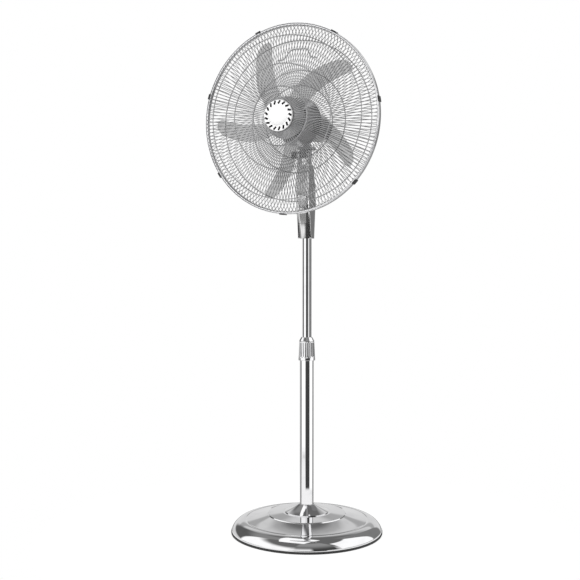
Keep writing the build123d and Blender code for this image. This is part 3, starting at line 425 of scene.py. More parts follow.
collar_chrome = chrome("collar_chrome", 0.80, 0.05)
collar = spun("height_collar_nut", collar_outside(), turns=FLUTES * 16, ripple=fluted, crease=50)
fit(collar, collar_chrome, "collar", "chrome", "height_collar")
cap_top = CAP_FOOT + CAP_H
collar_cap = spun("collar_cap_cone", rounded(
    (CAP_BORE, CAP_FOOT), (COLLAR_TOP_R, CAP_FOOT, 0.0003), (COLLAR_TOP_R, CAP_FOOT + 0.001, 0.0006),
    (CAP_R, cap_top, 0.0006), (CAP_BORE, cap_top)), turns=128)
fit(collar_cap, collar_chrome, "base", "chrome", "collar_cap")


# Upper tube: a slimmer drawn tube, chromed as the lower one. It slides in the collet for the fan's height and carries
# the neck, which is clamped on its end.

MAST_R = 0.0125
MAST_WALL = 0.0012
MAST_FOOT = 0.3115
MAST_TOP = 0.851

mast_bore = MAST_R - MAST_WALL
upper_tube = spun("upper_tube_mast", [(mast_bore, MAST_FOOT), (MAST_R, MAST_FOOT), (MAST_R, MAST_TOP),
                                      (mast_bore, MAST_TOP)], turns=112)
fit(upper_tube, tube_chrome, "mast", "chrome", "upper_tube")


# Neck: a plated moulding in two halves, round at the foot and square at the top. The rear shell holds the tube and
# rises in two ears beside the tilt joint; three covers close its front, the middle one holding the speed keys.

NECK = ((0.769, 0.0193, 0.0193, 0.0193, 0.0190),
        (0.8082, 0.0190, 0.0245, 0.0205, 0.0150),
        (0.8465, 0.0188, 0.0310, 0.0210, 0.0110),
        (0.8893, 0.0185, 0.0365, 0.0210, 0.0080),
        (0.9586, 0.0165, 0.0320, 0.0115, 0.0075))
NECK_WALL = 0.0022
SPLIT_SETBACK = 0.005
SEAM = 0.0007
LOWER_SEAM = NECK[1][0]
UPPER_SEAM = NECK[3][0]
NECK_FOOT = NECK[0][0]
NECK_HEAD = NECK[4][0]


def sizes_at(stations, at):
    """Sizes at a value of the first column, on a smooth line through the rows."""
    i = 0
    while i < len(stations) - 2 and at > stations[i + 1][0]:
        i += 1
    a, b = stations[i], stations[i + 1]
    before, after = stations[max(i - 1, 0)], stations[min(i + 2, len(stations) - 1)]
    span = b[0] - a[0]
    t = (at - a[0]) / span
    sizes = []
    for k in range(1, len(a)):
        slope_a = (b[k] - before[k]) / (b[0] - before[0]) * span
        slope_b = (after[k] - a[k]) / (after[0] - a[0]) * span
        sizes.append(a[k] * (2 * t ** 3 - 3 * t ** 2 + 1) + slope_a * (t ** 3 - 2 * t ** 2 + t)
                     + b[k] * (3 * t ** 2 - 2 * t ** 3) + slope_b * (t ** 3 - t ** 2))
    return sizes


def neck_split(z):
    """Y of the seam between the front covers and the rear shell."""
    low, mid, high = NECK[0], NECK[3], NECK[4]
    a, b = (low, mid) if z < mid[0] else (mid, high)
    t = (z - a[0]) / (b[0] - a[0])
    return -(a[2] + (b[2] - a[2]) * t) + SPLIT_SETBACK


def neck_path(z, inset, in_front, count=41):
    """Part of the neck's outline at a height, from one side of the seam round to the other."""
    half, front, back, corner = sizes_at(NECK, z)
    half, front, back = half - inset, front - inset, back - inset
    corner = min(max(corner - inset, NECK_WALL / 2), half - 0.00001)
    side = -1.0 if in_front else 1.0
    reach = front if in_front else back
    seam = neck_split(z) + (-SEAM / 2 if in_front else SEAM / 2)
    quarter = [(half, seam)] if side * (side * (reach - corner) - seam) > 0 else []
    for k in range(17):
        a = pi / 2 * k / 16
        x, y = half - corner + corner * cos(a), side * (reach - corner + corner * sin(a))
        if side * (y - seam) >= 0:
            quarter.append((x, y))
    if quarter[0][1] != seam:
        rise = side * seam - (reach - corner)
        quarter.insert(0, (half - corner + sqrt(max(corner ** 2 - rise ** 2, 0.0)), seam))
    outline = [Vector((x, y, z)) for x, y in quarter] + [Vector((-x, y, z)) for x, y in reversed(quarter)]
    lengths = [0.0]
    for a, b in zip(outline, outline[1:]):
        lengths.append(lengths[-1] + (b - a).length)
    points = []
    for k in range(count):
        goal = lengths[-1] * k / (count - 1)
        i = 0
        while i < len(outline) - 2 and lengths[i + 1] < goal:
            i += 1
        step = lengths[i + 1] - lengths[i]
        points.append(outline[i].lerp(outline[i + 1], (goal - lengths[i]) / step if step > 0 else 0.0))
    return points


def neck_skin(z0, z1, in_front, floor=False, roof=False, rows=24, count=41):
    """One moulding of the neck: an outer and an inner skin joined round their edges, closed above or below."""
    heights = [z0 + (z1 - z0) * k / rows for k in range(rows + 1)]
    outer, inner = [], []
    for z in heights:
        outer += neck_path(z, 0.0, in_front, count)
        z_in = min(max(z, NECK_FOOT + NECK_WALL if floor else z), NECK_HEAD - NECK_WALL if roof else z)
        inner += [Vector((p.x, p.y, z_in)) for p in neck_path(z, NECK_WALL, in_front, count)]
    shift = len(outer)
    faces = []
    for r in range(rows):
        for c in range(count - 1):
            i = r * count + c
            faces.append((i, i + 1, i + count + 1, i + count))
            faces.append((shift + i, shift + i + count, shift + i + count + 1, shift + i + 1))
        for c in (0, count - 1):
            i = r * count + c
            faces.append((i, i + count, shift + i + count, shift + i))
    for r, closed in ((0, floor), (rows, roof)):
        row = [r * count + c for c in range(count)]
        if closed:
            faces.append(tuple(row))
            faces.append(tuple(shift + i for i in row))
            faces.append((row[0], row[-1], shift + row[-1], shift + row[0]))
        else:
            for i in row[:-1]:
                faces.append((i, i + 1, shift + i + 1, shift + i))
    return outer + inner, faces


def prism(outline, start, end, place):
    """Block between two depths on an outline; place puts (u, v, depth) in the frame."""
    count = len(outline)
    verts = [place(u, v, depth) for depth in (start, end) for u, v in outline]
    return verts, [tuple(range(count)), tuple(range(count, 2 * count))] + quads(2, count)


def joined(*shapes):
    """Several shapes as one list of points and faces."""
    verts, faces = [], []
    for more_verts, more_faces in shapes:
        shift = len(verts)
        verts += more_verts
        faces += [tuple(shift + i for i in face) for face in more_faces]
    return verts, faces


def cut(piece, *shapes):
    """Cuts shapes out of a piece."""
    tool = solid(piece.name + "_tool", *joined(*shapes))
    carve = piece.modifiers.new("carve", "BOOLEAN")
    carve.object = tool
    carve.solver = "EXACT"
    bpy.context.view_layer.update()
    ready = piece.evaluated_get(bpy.context.evaluated_depsgraph_get())
    mesh = bpy.data.meshes.new_from_object(ready)
    piece.modifiers.clear()
    piece.data = mesh
    bpy.data.objects.remove(tool)
    mesh.shade_smooth()
    mesh.set_sharp_from_angle(angle=radians(EDGE_ANGLE))
    return piece


def soften(piece, width=0.0004, segments=3):
    """Rounds a piece's sharp edges."""
    bevel = piece.modifiers.new("soft_edges", "BEVEL")
    bevel.width = width
    bevel.segments = segments
    bevel.limit_method = "ANGLE"
    bevel.angle_limit = radians(EDGE_ANGLE)
    bevel.harden_normals = True
    return piece


def plated(name, bright, haze, metallic=1.0):
    """Vacuum-plated plastic: softer and a little greyer than polished metal, with a faint flow texture."""
    paint, shade = open_finish(name)
    smear = clouds(shade, 0.02, 3.0, (1.0, 1.0, 0.4)).between(0.35, 0.75)
    flow = clouds(shade, 0.006, 2.0, (1.0, 1.0, 0.5))
    low = bright - 0.07
    colour = smear.tint((bright, bright, bright), (low, low, low))
    close_finish(shade, colour, haze + 0.06 * smear, flow, 0.00001, Metallic=metallic)
    return paint


neck_silver = plated("neck_silver", 0.70, 0.07)
neck_bright = plated("neck_bright", 0.90, 0.10)
neck_satin = plated("neck_satin", 0.96, 0.22, 0.3)
lower_cover = solid("neck_lower_cover_shell", *neck_skin(NECK_FOOT, LOWER_SEAM - SEAM / 2, True, floor=True), 40)
fit(soften(lower_cover), neck_silver, "mast", "neck_silver", "neck_lower_cover")
upper_cover = solid("neck_upper_cover_shell", *neck_skin(UPPER_SEAM + SEAM / 2, NECK_HEAD, True, roof=True), 40)
fit(soften(upper_cover), neck_satin, "mast", "neck_silver", "neck_upper_cover")

TILT = (-0.016, 0.9856)
EAR_R = 0.010
EAR_T = 0.0055
EAR_IN = 0.010
EAR_FOOT = NECK_HEAD - 2 * NECK_WALL


def bend(middle, radius, start, end, count=10):
    """Points on an arc round a middle, between two angles."""
    return [(middle[0] + radius * cos(start + (end - start) * k / count),
             middle[1] + radius * sin(start + (end - start) * k / count)) for k in range(count + 1)]


def side_on(y, z, x):
    return (x, y, z)


ear = bend(TILT, EAR_R, 0.0, pi, 24)
ear += [(TILT[0] - EAR_R, EAR_FOOT), (TILT[0] + EAR_R, EAR_FOOT)]
rear_shell = solid("neck_rear_moulding", *joined(
    neck_skin(NECK_FOOT, NECK_HEAD, False, floor=True, roof=True, rows=64),
    prism(ear, EAR_IN, EAR_IN + EAR_T, side_on), prism(ear, -EAR_IN - EAR_T, -EAR_IN, side_on)), 40)
fit(soften(rear_shell, 0.0006), neck_silver, "mast", "neck_silver", "neck_rear_shell")

KEYS = 4
KEY_W = 0.0044
KEY_H = 0.006
KEY_PITCH = 0.0056
KEY_Z = 0.8828
KEY_ROOM = 0.00045
KEY_CORNER = 0.0006
KEY_HOLE = (-0.06, -0.025)
KEY_FRONT = -0.0391
KEY_BACK = -0.0314


def face_on(x, z, y):
    return (x, y, z)


def box(left, right, low, high, corner, steps=4):
    """Outline of a rectangle with round corners."""
    corners = ((left, low), (right, low), (right, high), (left, high))
    return rounded(*[(u, v, corner) for u, v in corners], steps=steps)


def key_shape(x, room, start, end):
    """Block for one key, or with some room round it for its hole."""
    w, h = (KEY_W + 2 * room) / 2, (KEY_H + 2 * room) / 2
    return prism(box(x - w, x + w, KEY_Z - h, KEY_Z + h, KEY_CORNER), start, end, face_on)


key_places = [(i - (KEYS - 1) / 2) * KEY_PITCH for i in range(KEYS)]
panel = solid("control_panel_cover", *neck_skin(LOWER_SEAM + SEAM / 2, UPPER_SEAM - SEAM / 2, True), 40)
cut(panel, *[key_shape(x, KEY_ROOM, *KEY_HOLE) for x in key_places])
fit(soften(panel, 0.0003), neck_bright, "mast", "neck_silver", "control_panel")
key_silver = plated("key_silver", 0.74, 0.14)
for i, x in enumerate(key_places):
    key = solid(f"speed_key_cap_{i}", *key_shape(x, 0.0, KEY_FRONT, KEY_BACK))
    fit(soften(key, 0.0006, 4), key_silver, f"key_{i}", "key_silver", f"speed_key_{i}")
black_plastic = moulded("black_plastic", (0.012, 0.012, 0.012), (0.03, 0.03, 0.03))
dress(black_plastic, "switch_block", "cord_gland")
dress(bright_steel, "neck_clamp_screw")


# Tilt joint: a steel pin through the ears, a hand knob on its end, and a cast bracket that tips between the ears and
# carries the swivel pin. Beside it lie the crank and the link that swing the head.

cast_alloy = metal("cast_alloy", (0.16, 0.16, 0.165), (0.26, 0.26, 0.265), 0.35, 0.55, 0.006, 0.00006)
dress(bright_steel, "tilt_pin", "swivel_pin", "crank_link", "crank")
dress(cast_alloy, "tilt_bracket", "gearbox_housing")

KNOB_AT = -0.0161
KNOB_R = 0.009
KNOB_L = 0.019
KNOB_LOBES = 6
KNOB_BORE = 0.0041
KNOB_DEPTH = 0.0136


def on_tilt_pin(radius, out, angle):
    return (KNOB_AT - out, TILT[0] + radius * cos(angle), TILT[1] + radius * sin(angle))


def lobed(radius, out, angle):
    """Finger hollows round the outer part of the knob."""
    if radius < 0.7 * KNOB_R or out < KNOB_L / 3:
        return radius
    off = sin((angle + pi / KNOB_LOBES) % (2 * pi / KNOB_LOBES) - pi / KNOB_LOBES)
    hollow = sqrt(max(1.0 / 16 - off * off, 0.0))
    return min(radius, KNOB_R * (sqrt(1.0 - off * off) - hollow)) if hollow else radius


knob_side = [KNOB_L * 0.333] + [KNOB_L * (0.34 + 0.06 * k) for k in range(11)]
knob_line = [(KNOB_BORE, 0.0), (KNOB_R - 0.0006, 0.0), (KNOB_R, 0.0006)] + [(KNOB_R, out) for out in knob_side]
knob_line += [(KNOB_R - 0.0004, KNOB_L - 0.0004), (KNOB_R - 0.0014, KNOB_L), (0.0, KNOB_L), (0.0, KNOB_DEPTH),
              (KNOB_BORE, KNOB_DEPTH)]
tilt_knob = spun("tilt_hand_knob", knob_line, on_tilt_pin, 144, lobed, 40)
fit(tilt_knob, black_plastic, "tilt_knob", "dark_plastic", "tilt_lock_knob")


# Motor: stamped laminations and copper windings on a steel shaft in bronze bushes, under two painted steel covers.
# The rear one is slotted for air, and a pull knob through its top stops the swing.

AXIS_Z = 1.0636
RIM_Y = -0.107


def on_fan(radius, ahead, angle, across=0.0):
    """Place on the fan: round its axis, ahead of the guard's rim, and across the radius at that angle."""
    c, s = cos(angle), sin(angle)
    return (radius * c - across * s, RIM_Y - ahead, AXIS_Z + radius * s + across * c)


def satin_paint(name, dark, light):
    """Enamel with a little metal in it and a slight orange peel."""
    return worked(name, dark, light, (0.28, 0.42), (0.03, 3.0), (0.0016, 1.0), 0.00002, broad=True, Metallic=0.55)


MOTOR_R = 0.044
MOTOR_FACE = -0.059
MOTOR_BEVEL = 0.004
COVER_SPLIT = -0.090
NOSE_R = 0.017
NOSE_AHEAD = -0.045
BUSH_R = 0.0076
MOTOR_WALL = 0.0024

motor_grey = satin_paint("motor_grey", (0.32, 0.32, 0.324), (0.40, 0.40, 0.404))
skin_r, skin_face = MOTOR_R - MOTOR_WALL, MOTOR_FACE - MOTOR_WALL
motor_face = spun("motor_front_shell", rounded(
    (BUSH_R, skin_face), (skin_r, skin_face), (skin_r, COVER_SPLIT), (MOTOR_R, COVER_SPLIT, 0.0005),
    (MOTOR_R, MOTOR_FACE - MOTOR_BEVEL, 0.002), (MOTOR_R - MOTOR_BEVEL, MOTOR_FACE, 0.002),
    (NOSE_R, MOTOR_FACE, 0.001), (NOSE_R, NOSE_AHEAD, 0.001), (BUSH_R, NOSE_AHEAD)), on_fan, 96)
fit(motor_face, motor_grey, "head", "motor_grey", "motor_front_cover")

COVER_SEAM = -0.0907
COVER_TAPER = (0.036, -0.187)
COVER_ROUND = (0.031, -0.196)
COVER_END = (0.020, -0.200)
VENTS = 12
VENT_W = 0.003
VENT_L = 0.024
VENT_CORNER = 0.0014
SEAM_EDGE = 0.0005
SWIVEL_ROOM = 0.0112
WHEEL_AT = (-0.0132, 0.015)
STEM_ROOM = 0.0031


def vent(turn):
    """Shape of one slot through the taper of the rear cover."""
    low, high = COVER_TAPER[1] + VENT_L / 2, COVER_TAPER[1] + VENT_L * 1.5
    return prism(box(-VENT_W / 2, VENT_W / 2, low, high, VENT_CORNER), COVER_TAPER[0] / 2, 2 * MOTOR_R,
                 lambda across, ahead, radius: on_fan(radius, ahead, turn, across))


def plug(x, y, radius, low, high):
    """Upright round shape, for a hole."""
    return prism(bend((x, y), radius, 0.0, 2 * pi, 48)[:-1], low, high, lambda u, v, depth: (u, v, depth))


end_line = arc_through(COVER_TAPER, COVER_ROUND, COVER_END, 20)
inner_line = arc_through((COVER_TAPER[0] - MOTOR_WALL, COVER_TAPER[1]),
                         (COVER_ROUND[0] - 0.8 * MOTOR_WALL, COVER_ROUND[1] + MOTOR_WALL),
                         (COVER_END[0], COVER_END[1] + MOTOR_WALL), 20)
tail_line = [(skin_r, COVER_SEAM), (MOTOR_R - SEAM_EDGE, COVER_SEAM), (MOTOR_R, COVER_SEAM - SEAM_EDGE)] + end_line
tail_line += [(0.0, COVER_END[1]), (0.0, COVER_END[1] + MOTOR_WALL)] + inner_line[::-1]
motor_tail = spun("motor_rear_shell", tail_line, on_fan, 144)
cut(motor_tail, *[vent(2 * pi * (i + 0.5) / VENTS) for i in range(VENTS)],
    plug(0.0, 0.0, SWIVEL_ROOM, AXIS_Z - 2 * MOTOR_R, AXIS_Z - MOTOR_R / 2),
    plug(*WHEEL_AT, STEM_ROOM, AXIS_Z - 2 * MOTOR_R, AXIS_Z + 2 * MOTOR_R))
fit(motor_tail, motor_grey, "head", "motor_grey", "motor_rear_cover")
dress(bright_steel, "stator_core", "rotor_core", "motor_shaft", "drive_pin")
dress(metal("copper_wire", (0.45, 0.20, 0.09), (0.62, 0.30, 0.14), 0.25, 0.45), "stator_windings")
dress(metal("bush_bronze", (0.36, 0.26, 0.13), (0.48, 0.36, 0.18), 0.3, 0.5), "front_bush", "rear_bush")
dress(black_plastic, "capacitor")

PULL_R = 0.007
PULL_H = 0.011
PULL_STEM = 0.0025
PULL_FOOT = 1.0667
PULL_SEAT = 1.10619
PULL_RIBS = 20


def on_wheel(radius, height, angle):
    return (WHEEL_AT[0] + radius * cos(angle), WHEEL_AT[1] + radius * sin(angle), height)


def ribs(count, depth, inside):
    """Ripple of grip ribs round the part of a piece that lies beyond a radius."""
    def ripple(radius, height, angle):
        return radius - depth * (0.5 + 0.5 * cos(count * angle)) if radius > inside else radius
    return ripple


pull_top = PULL_SEAT + PULL_H
pull_knob = spun("swing_pull_knob", rounded(
    (0.0, PULL_FOOT), (PULL_STEM, PULL_FOOT, 0.0003), (PULL_STEM, PULL_SEAT), (PULL_R, PULL_SEAT, 0.0004),
    (PULL_R, pull_top, 0.00175), (0.0, pull_top)), on_wheel, 160, ribs(PULL_RIBS, 0.0003, PULL_R - 0.001), 40)
fit(pull_knob, black_plastic, "osc_knob", "dark_plastic", "oscillation_knob")


# Blades: swept blades moulded in smoke-grey see-through plastic, thinned and rounded at their edges, on a silver hub.
# A domed spinner screws on the shaft in front of them.

BLADES = 5
BLADE_TIP_AT = -35.6
BLADE_T = 0.0022
BLADE_STATIONS = ((0.0405, 25.4, 0.0406, 26.5, 0.0079), (0.075, 21.0, 0.0450, 23.0, 0.007),
                  (0.110, 15.5, 0.0470, 19.5, 0.006), (0.142, 10.0, 0.0465, 17.0, 0.005),
                  (0.170, 5.5, 0.0430, 15.0, 0.004), (0.191, 2.2, 0.0375, 13.5, 0.003),
                  (0.203, 0.4, 0.0180, 13.0, 0.0025))
HUB_R = 0.040
HUB_BACK = -0.010
HUB_FRONT = 0.026
HUB_WALL = 0.0025
HUB_BOSS_R = 0.011
HUB_BOSS_OUT = 0.003
SHAFT_R = 0.004
SPINNER_R = 0.052
SPINNER_EDGE = 0.004
SPINNER_RISE = 0.021
SPINNER_WALL = 0.0022


def blade(first, rows=40, across=14):
    """One blade as a closed skin round lens-shaped sections, from the hub to the tip."""
    ring = []
    for k in range(across + 1):
        u = -cos(pi * k / across)
        ring.append((u, sqrt(max(1.0 - u * u, 0.0)) ** 0.6))
    ring += [(u, -h) for u, h in reversed(ring[1:-1])]
    verts = []
    low, high = BLADE_STATIONS[0][0], BLADE_STATIONS[-1][0]
    for r in range(rows + 1):
        radius = low + (high - low) * sin(pi / 2 * r / rows)
        turn, width, pitch, ahead = sizes_at(BLADE_STATIONS, radius)
        chord = width / cos(radians(pitch))
        angle = radians(first + turn)
        for u, h in ring:
            along, thick = u * chord / 2, h * BLADE_T / 2
            side = along * cos(radians(pitch)) - thick * sin(radians(pitch))
            depth = along * sin(radians(pitch)) + thick * cos(radians(pitch))
            verts.append(on_fan(radius, ahead + depth, angle, side))
    count = len(ring)
    ends = [tuple(range(count)), tuple(rows * count + i for i in range(count))]
    return verts, quads(rows + 1, count) + ends


def smoke(name):
    """Clear plastic tinted grey, with faint flow lines and a little less gloss where it is handled."""
    paint, shade = open_finish(name)
    flow = clouds(shade, 0.03, 3.0)
    grain = clouds(shade, 0.004, 2.0)
    close_finish(shade, flow.tint((0.05, 0.05, 0.052), (0.08, 0.08, 0.082)), 0.22 + 0.12 * flow, grain, 0.00001,
                 Alpha=0.30 + 0.06 * flow)
    return paint


blades = solid("swept_blades", *joined(*[blade(BLADE_TIP_AT + 360 * i / BLADES) for i in range(BLADES)]), 50)
fit(blades, smoke("blade_smoke"), "rotor", "blade_smoke", "fan_blades")
hub_silver = worked("hub_silver", (0.40, 0.40, 0.405), (0.46, 0.46, 0.465), (0.30, 0.40), (0.06, 3.0), (0.0008, 2.0),
                    0.000008, Metallic=0.85)
hub_edge = HUB_BACK + HUB_BOSS_OUT
hub = spun("hub_cup", rounded(
    (HUB_R - HUB_WALL, hub_edge, 0.0008), (HUB_R, hub_edge, 0.0008), (HUB_R, HUB_FRONT, 0.003), (SHAFT_R, HUB_FRONT),
    (SHAFT_R, HUB_BACK), (HUB_BOSS_R, HUB_BACK, 0.0008), (HUB_BOSS_R, HUB_FRONT - HUB_WALL),
    (HUB_R - HUB_WALL, HUB_FRONT - HUB_WALL)), on_fan, 128)
fit(hub, hub_silver, "rotor", "hub_silver", "blade_hub")


def dome_line(radius, brow, top, count=24):
    """Points on a shallow dome from its edge to its top."""
    rise = top - brow
    ball = (radius ** 2 + rise ** 2) / (2 * rise)
    points = []
    for k in range(count + 1):
        r = radius * cos(pi / 2 * k / count)
        points.append((r, top - ball + sqrt(ball ** 2 - r ** 2)))
    return points


spin_top = HUB_FRONT + SPINNER_RISE
dome = dome_line(SPINNER_R - 0.0006, HUB_FRONT + SPINNER_EDGE + 0.0005, spin_top)
under = dome_line(SPINNER_R - SPINNER_WALL, HUB_FRONT + SPINNER_EDGE - SPINNER_WALL, spin_top - SPINNER_WALL)
spinner = spun("spinner_dome", [(SPINNER_R - SPINNER_WALL, HUB_FRONT), (SPINNER_R, HUB_FRONT),
                                (SPINNER_R, HUB_FRONT + SPINNER_EDGE)] + dome + under[::-1], on_fan, 160)
fit(spinner, hub_silver, "rotor", "hub_silver", "spinner_cap")


# Guards: two baskets of chromed steel wire. Spokes, long and short in turn, are welded to inner rings, to a plate at
# the centre and to a rim wire; a bent wire on the rear one is its handle, and a nut holds that guard on the motor's
# nose.

SPOKES = 154
SPOKE_R = 0.0009
RING_R = 0.0013
RIM_WIRE_R = 0.0028
WELD = 0.00025
BAND_R = 0.2365
BAND_W = 0.013
BAND_WALL = 0.0009
DOME_R = 0.640
DOME_AHEAD = 0.066
FRONT_CORNER_R = 0.048
FRONT_RINGS = (0.072, 0.129, 0.201)
FRONT_PLATE_R = 0.040
REAR_FLAT_R = 0.062
REAR_FLAT_AHEAD = -0.057
REAR_SLOPE = radians(8.4)
REAR_CORNER_R = 0.034
REAR_RINGS = (0.092, 0.129, 0.202)
SPOKE_LAP = 0.005
HOOP_STEPS = 240
PLATE_T = 0.0012
PLATE_EDGE = 0.0003
WIRE_CREASE = 60
RIM_WIRE = (BAND_R - BAND_WALL - RIM_WIRE_R, RIM_WIRE_R + WELD / 2)


def dome_ahead(radius):
    return DOME_AHEAD - DOME_R + sqrt(DOME_R ** 2 - radius ** 2)


def rear_ahead(radius):
    return REAR_FLAT_AHEAD + (radius - REAR_FLAT_R) * tan(REAR_SLOPE)


def front_line(inner):
    """Middle line of a front spoke: one large arc, then the corner down to the rim."""
    low = (0.0, DOME_AHEAD - DOME_R)
    span = hypot(RIM_WIRE[0] - low[0], RIM_WIRE[1] - low[1])
    gap = DOME_R - FRONT_CORNER_R
    along = (span ** 2 + gap ** 2 - FRONT_CORNER_R ** 2) / (2 * span)
    aside = sqrt(gap ** 2 - along ** 2)
    ux, uy = (RIM_WIRE[0] - low[0]) / span, (RIM_WIRE[1] - low[1]) / span
    corner = (low[0] + along * ux - aside * uy, low[1] + along * uy + aside * ux)
    lean = atan2(corner[1] - low[1], corner[0] - low[0])
    arc = bend(low, DOME_R, acos(inner / DOME_R), lean, 12)
    end = atan2(RIM_WIRE[1] - corner[1], RIM_WIRE[0] - corner[0])
    return arc + bend(corner, FRONT_CORNER_R, lean, end)[1:]


def rear_line(inner):
    """Middle line of a rear spoke: straight up the dish, then the corner forward to the rim."""
    rim = (RIM_WIRE[0], -RIM_WIRE[1])
    c, s = cos(REAR_SLOPE), sin(REAR_SLOPE)
    dx, dy = rim[0] - REAR_FLAT_R, rim[1] - REAR_FLAT_AHEAD
    reach, height = dx * c + dy * s, -dx * s + dy * c
    run = reach - sqrt(REAR_CORNER_R ** 2 - (height - REAR_CORNER_R) ** 2)
    corner = (REAR_FLAT_R + run * c - REAR_CORNER_R * s, REAR_FLAT_AHEAD + run * s + REAR_CORNER_R * c)
    end = atan2(rim[1] - corner[1], rim[0] - corner[0])
    start = -pi / 2 + REAR_SLOPE
    return [(inner, rear_ahead(inner))] + bend(corner, REAR_CORNER_R, start, end)


def tube(points, radius, sides=8, closed=False):
    """Round wire along a line of points in the frame, as points and faces."""
    count = len(points)
    points = [Vector(p) for p in points]
    verts = []
    side = None
    for i, here in enumerate(points):
        before = points[i - 1] if i or closed else here
        after = points[(i + 1) % count] if i < count - 1 or closed else here
        ahead = (after - before).normalized()
        side = ahead.orthogonal().normalized() if side is None else (side - ahead * side.dot(ahead)).normalized()
        up = ahead.cross(side)
        for k in range(sides):
            a = 2 * pi * k / sides
            verts.append(tuple(here + side * (radius * cos(a)) + up * (radius * sin(a))))
    ends = [] if closed else [tuple(range(sides)), tuple((count - 1) * sides + k for k in range(sides))]
    return verts, quads(count, sides, closed) + ends


def spokes(line, long_end, short_end):
    """All the spokes of a guard, long and short in turn."""
    shapes = []
    for i in range(SPOKES):
        angle = 2 * pi * i / SPOKES
        points = [on_fan(r, ahead, angle) for r, ahead in line(short_end if i % 2 else long_end)]
        shapes.append(tube(points, SPOKE_R))
    return joined(*shapes)


def hoop(radius, ahead, thick):
    return tube([on_fan(radius, ahead, 2 * pi * k / HOOP_STEPS) for k in range(HOOP_STEPS)], thick, 12, True)


def disc(name, outer, inner, back, front):
    return spun(name, box(inner, outer, back, front, PLATE_EDGE, 5), on_fan, 128)


wire_chrome = chrome("wire_chrome", 0.50, 0.10)
rim_chrome = chrome("rim_chrome", 0.84, 0.05)
drop = SPOKE_R + RING_R - WELD
front_rings = joined(*[hoop(r, dome_ahead(r) - drop, RING_R) for r in FRONT_RINGS])
rear_rings = joined(*[hoop(r, rear_ahead(r) - drop, RING_R) for r in REAR_RINGS])
front_wires = spokes(front_line, FRONT_PLATE_R - SPOKE_LAP, FRONT_RINGS[0] - RING_R)
rear_wires = spokes(rear_line, REAR_FLAT_R - SPOKE_LAP, REAR_RINGS[0] - RING_R)
for name, node, paint, shape in (
        ("front_spokes", "front_guard_spokes", wire_chrome, front_wires),
        ("front_rings", "front_guard_rings", wire_chrome, front_rings),
        ("front_rim_wire", "front_guard_rings", rim_chrome, hoop(*RIM_WIRE, RIM_WIRE_R)),
        ("rear_spokes", "rear_guard_spokes", wire_chrome, rear_wires),
        ("rear_rings", "rear_guard_rings", wire_chrome, rear_rings),
        ("rear_rim_wire", "rear_guard_rings", rim_chrome, hoop(RIM_WIRE[0], -RIM_WIRE[1], RIM_WIRE_R))):
    fit(solid(name, *shape, WIRE_CREASE), paint, "head", "guard_wire", node)
plate_front = dome_ahead(FRONT_PLATE_R) - SPOKE_R + WELD
front_plate = disc("front_plate", FRONT_PLATE_R, 0.0, plate_front - PLATE_T, plate_front)
# Painted shade: the centre plate is coloured near-black so that the badge's slots show dark, as the shaded hollow
# behind them would; the rear plate keeps the wires' chrome.
painted_slot_shade = satin_paint("painted_slot_shade", (0.02, 0.02, 0.02), (0.035, 0.035, 0.035))
fit(front_plate, painted_slot_shade, "head", "guard_wire", "front_guard_plate")
plate_back = REAR_FLAT_AHEAD + SPOKE_R - WELD
rear_plate = disc("rear_plate", REAR_FLAT_R, NOSE_R + 0.0001, plate_back, plate_back + PLATE_T)
fit(rear_plate, wire_chrome, "head", "guard_wire", "rear_guard_plate")

NUT_R = 0.030
NUT_T = 0.007
NUT_RIBS = 24

nut_back = plate_back + PLATE_T
nut_front = nut_back + NUT_T
nut = spun("guard_lock_nut", rounded(
    (NOSE_R, nut_back), (NUT_R, nut_back, 0.0006), (NUT_R, nut_front, 0.0012), (NOSE_R, nut_front, 0.0008)),
    on_fan, NUT_RIBS * 8, ribs(NUT_RIBS, 0.0008, NUT_R - 0.002), 50)
fit(nut, black_plastic, "head", "dark_plastic", "guard_nut")

HANDLE_R = 0.00175
HANDLE_UP = 0.158
HANDLE_FOOT = 0.055
HANDLE_TOP = 0.022
HANDLE_RISE = 0.029
HANDLE_LEAN = REAR_SLOPE + radians(14.0)
HANDLE_BEND = 0.012

shoulder = (HANDLE_FOOT + HANDLE_TOP) / 2
outline = rounded((-HANDLE_FOOT, 0.0), (-shoulder, 0.0, HANDLE_BEND), (-HANDLE_TOP, HANDLE_RISE, HANDLE_BEND),
                  (HANDLE_TOP, HANDLE_RISE, HANDLE_BEND), (shoulder, 0.0, HANDLE_BEND), (HANDLE_FOOT, 0.0), steps=8)
handle_ahead = rear_ahead(HANDLE_UP) - SPOKE_R - HANDLE_R + WELD
handle_line = [(u, RIM_Y - handle_ahead + v * sin(HANDLE_LEAN), AXIS_Z + HANDLE_UP + v * cos(HANDLE_LEAN))
               for u, v in outline]
handle = solid("guard_handle", *tube(handle_line, HANDLE_R, 14), WIRE_CREASE)
fit(handle, rim_chrome, "head", "guard_wire", "carry_handle")


# Rim band: a strip of chromed steel bent round both rim wires, which it holds together. Black plastic clips hook over
# its edges to keep it closed.

CLIPS = 7
CLIP_AT = radians(8.3)
CLIP_W = 0.014
CLIP_T = 0.0018
CLIP_LIP = 0.0012

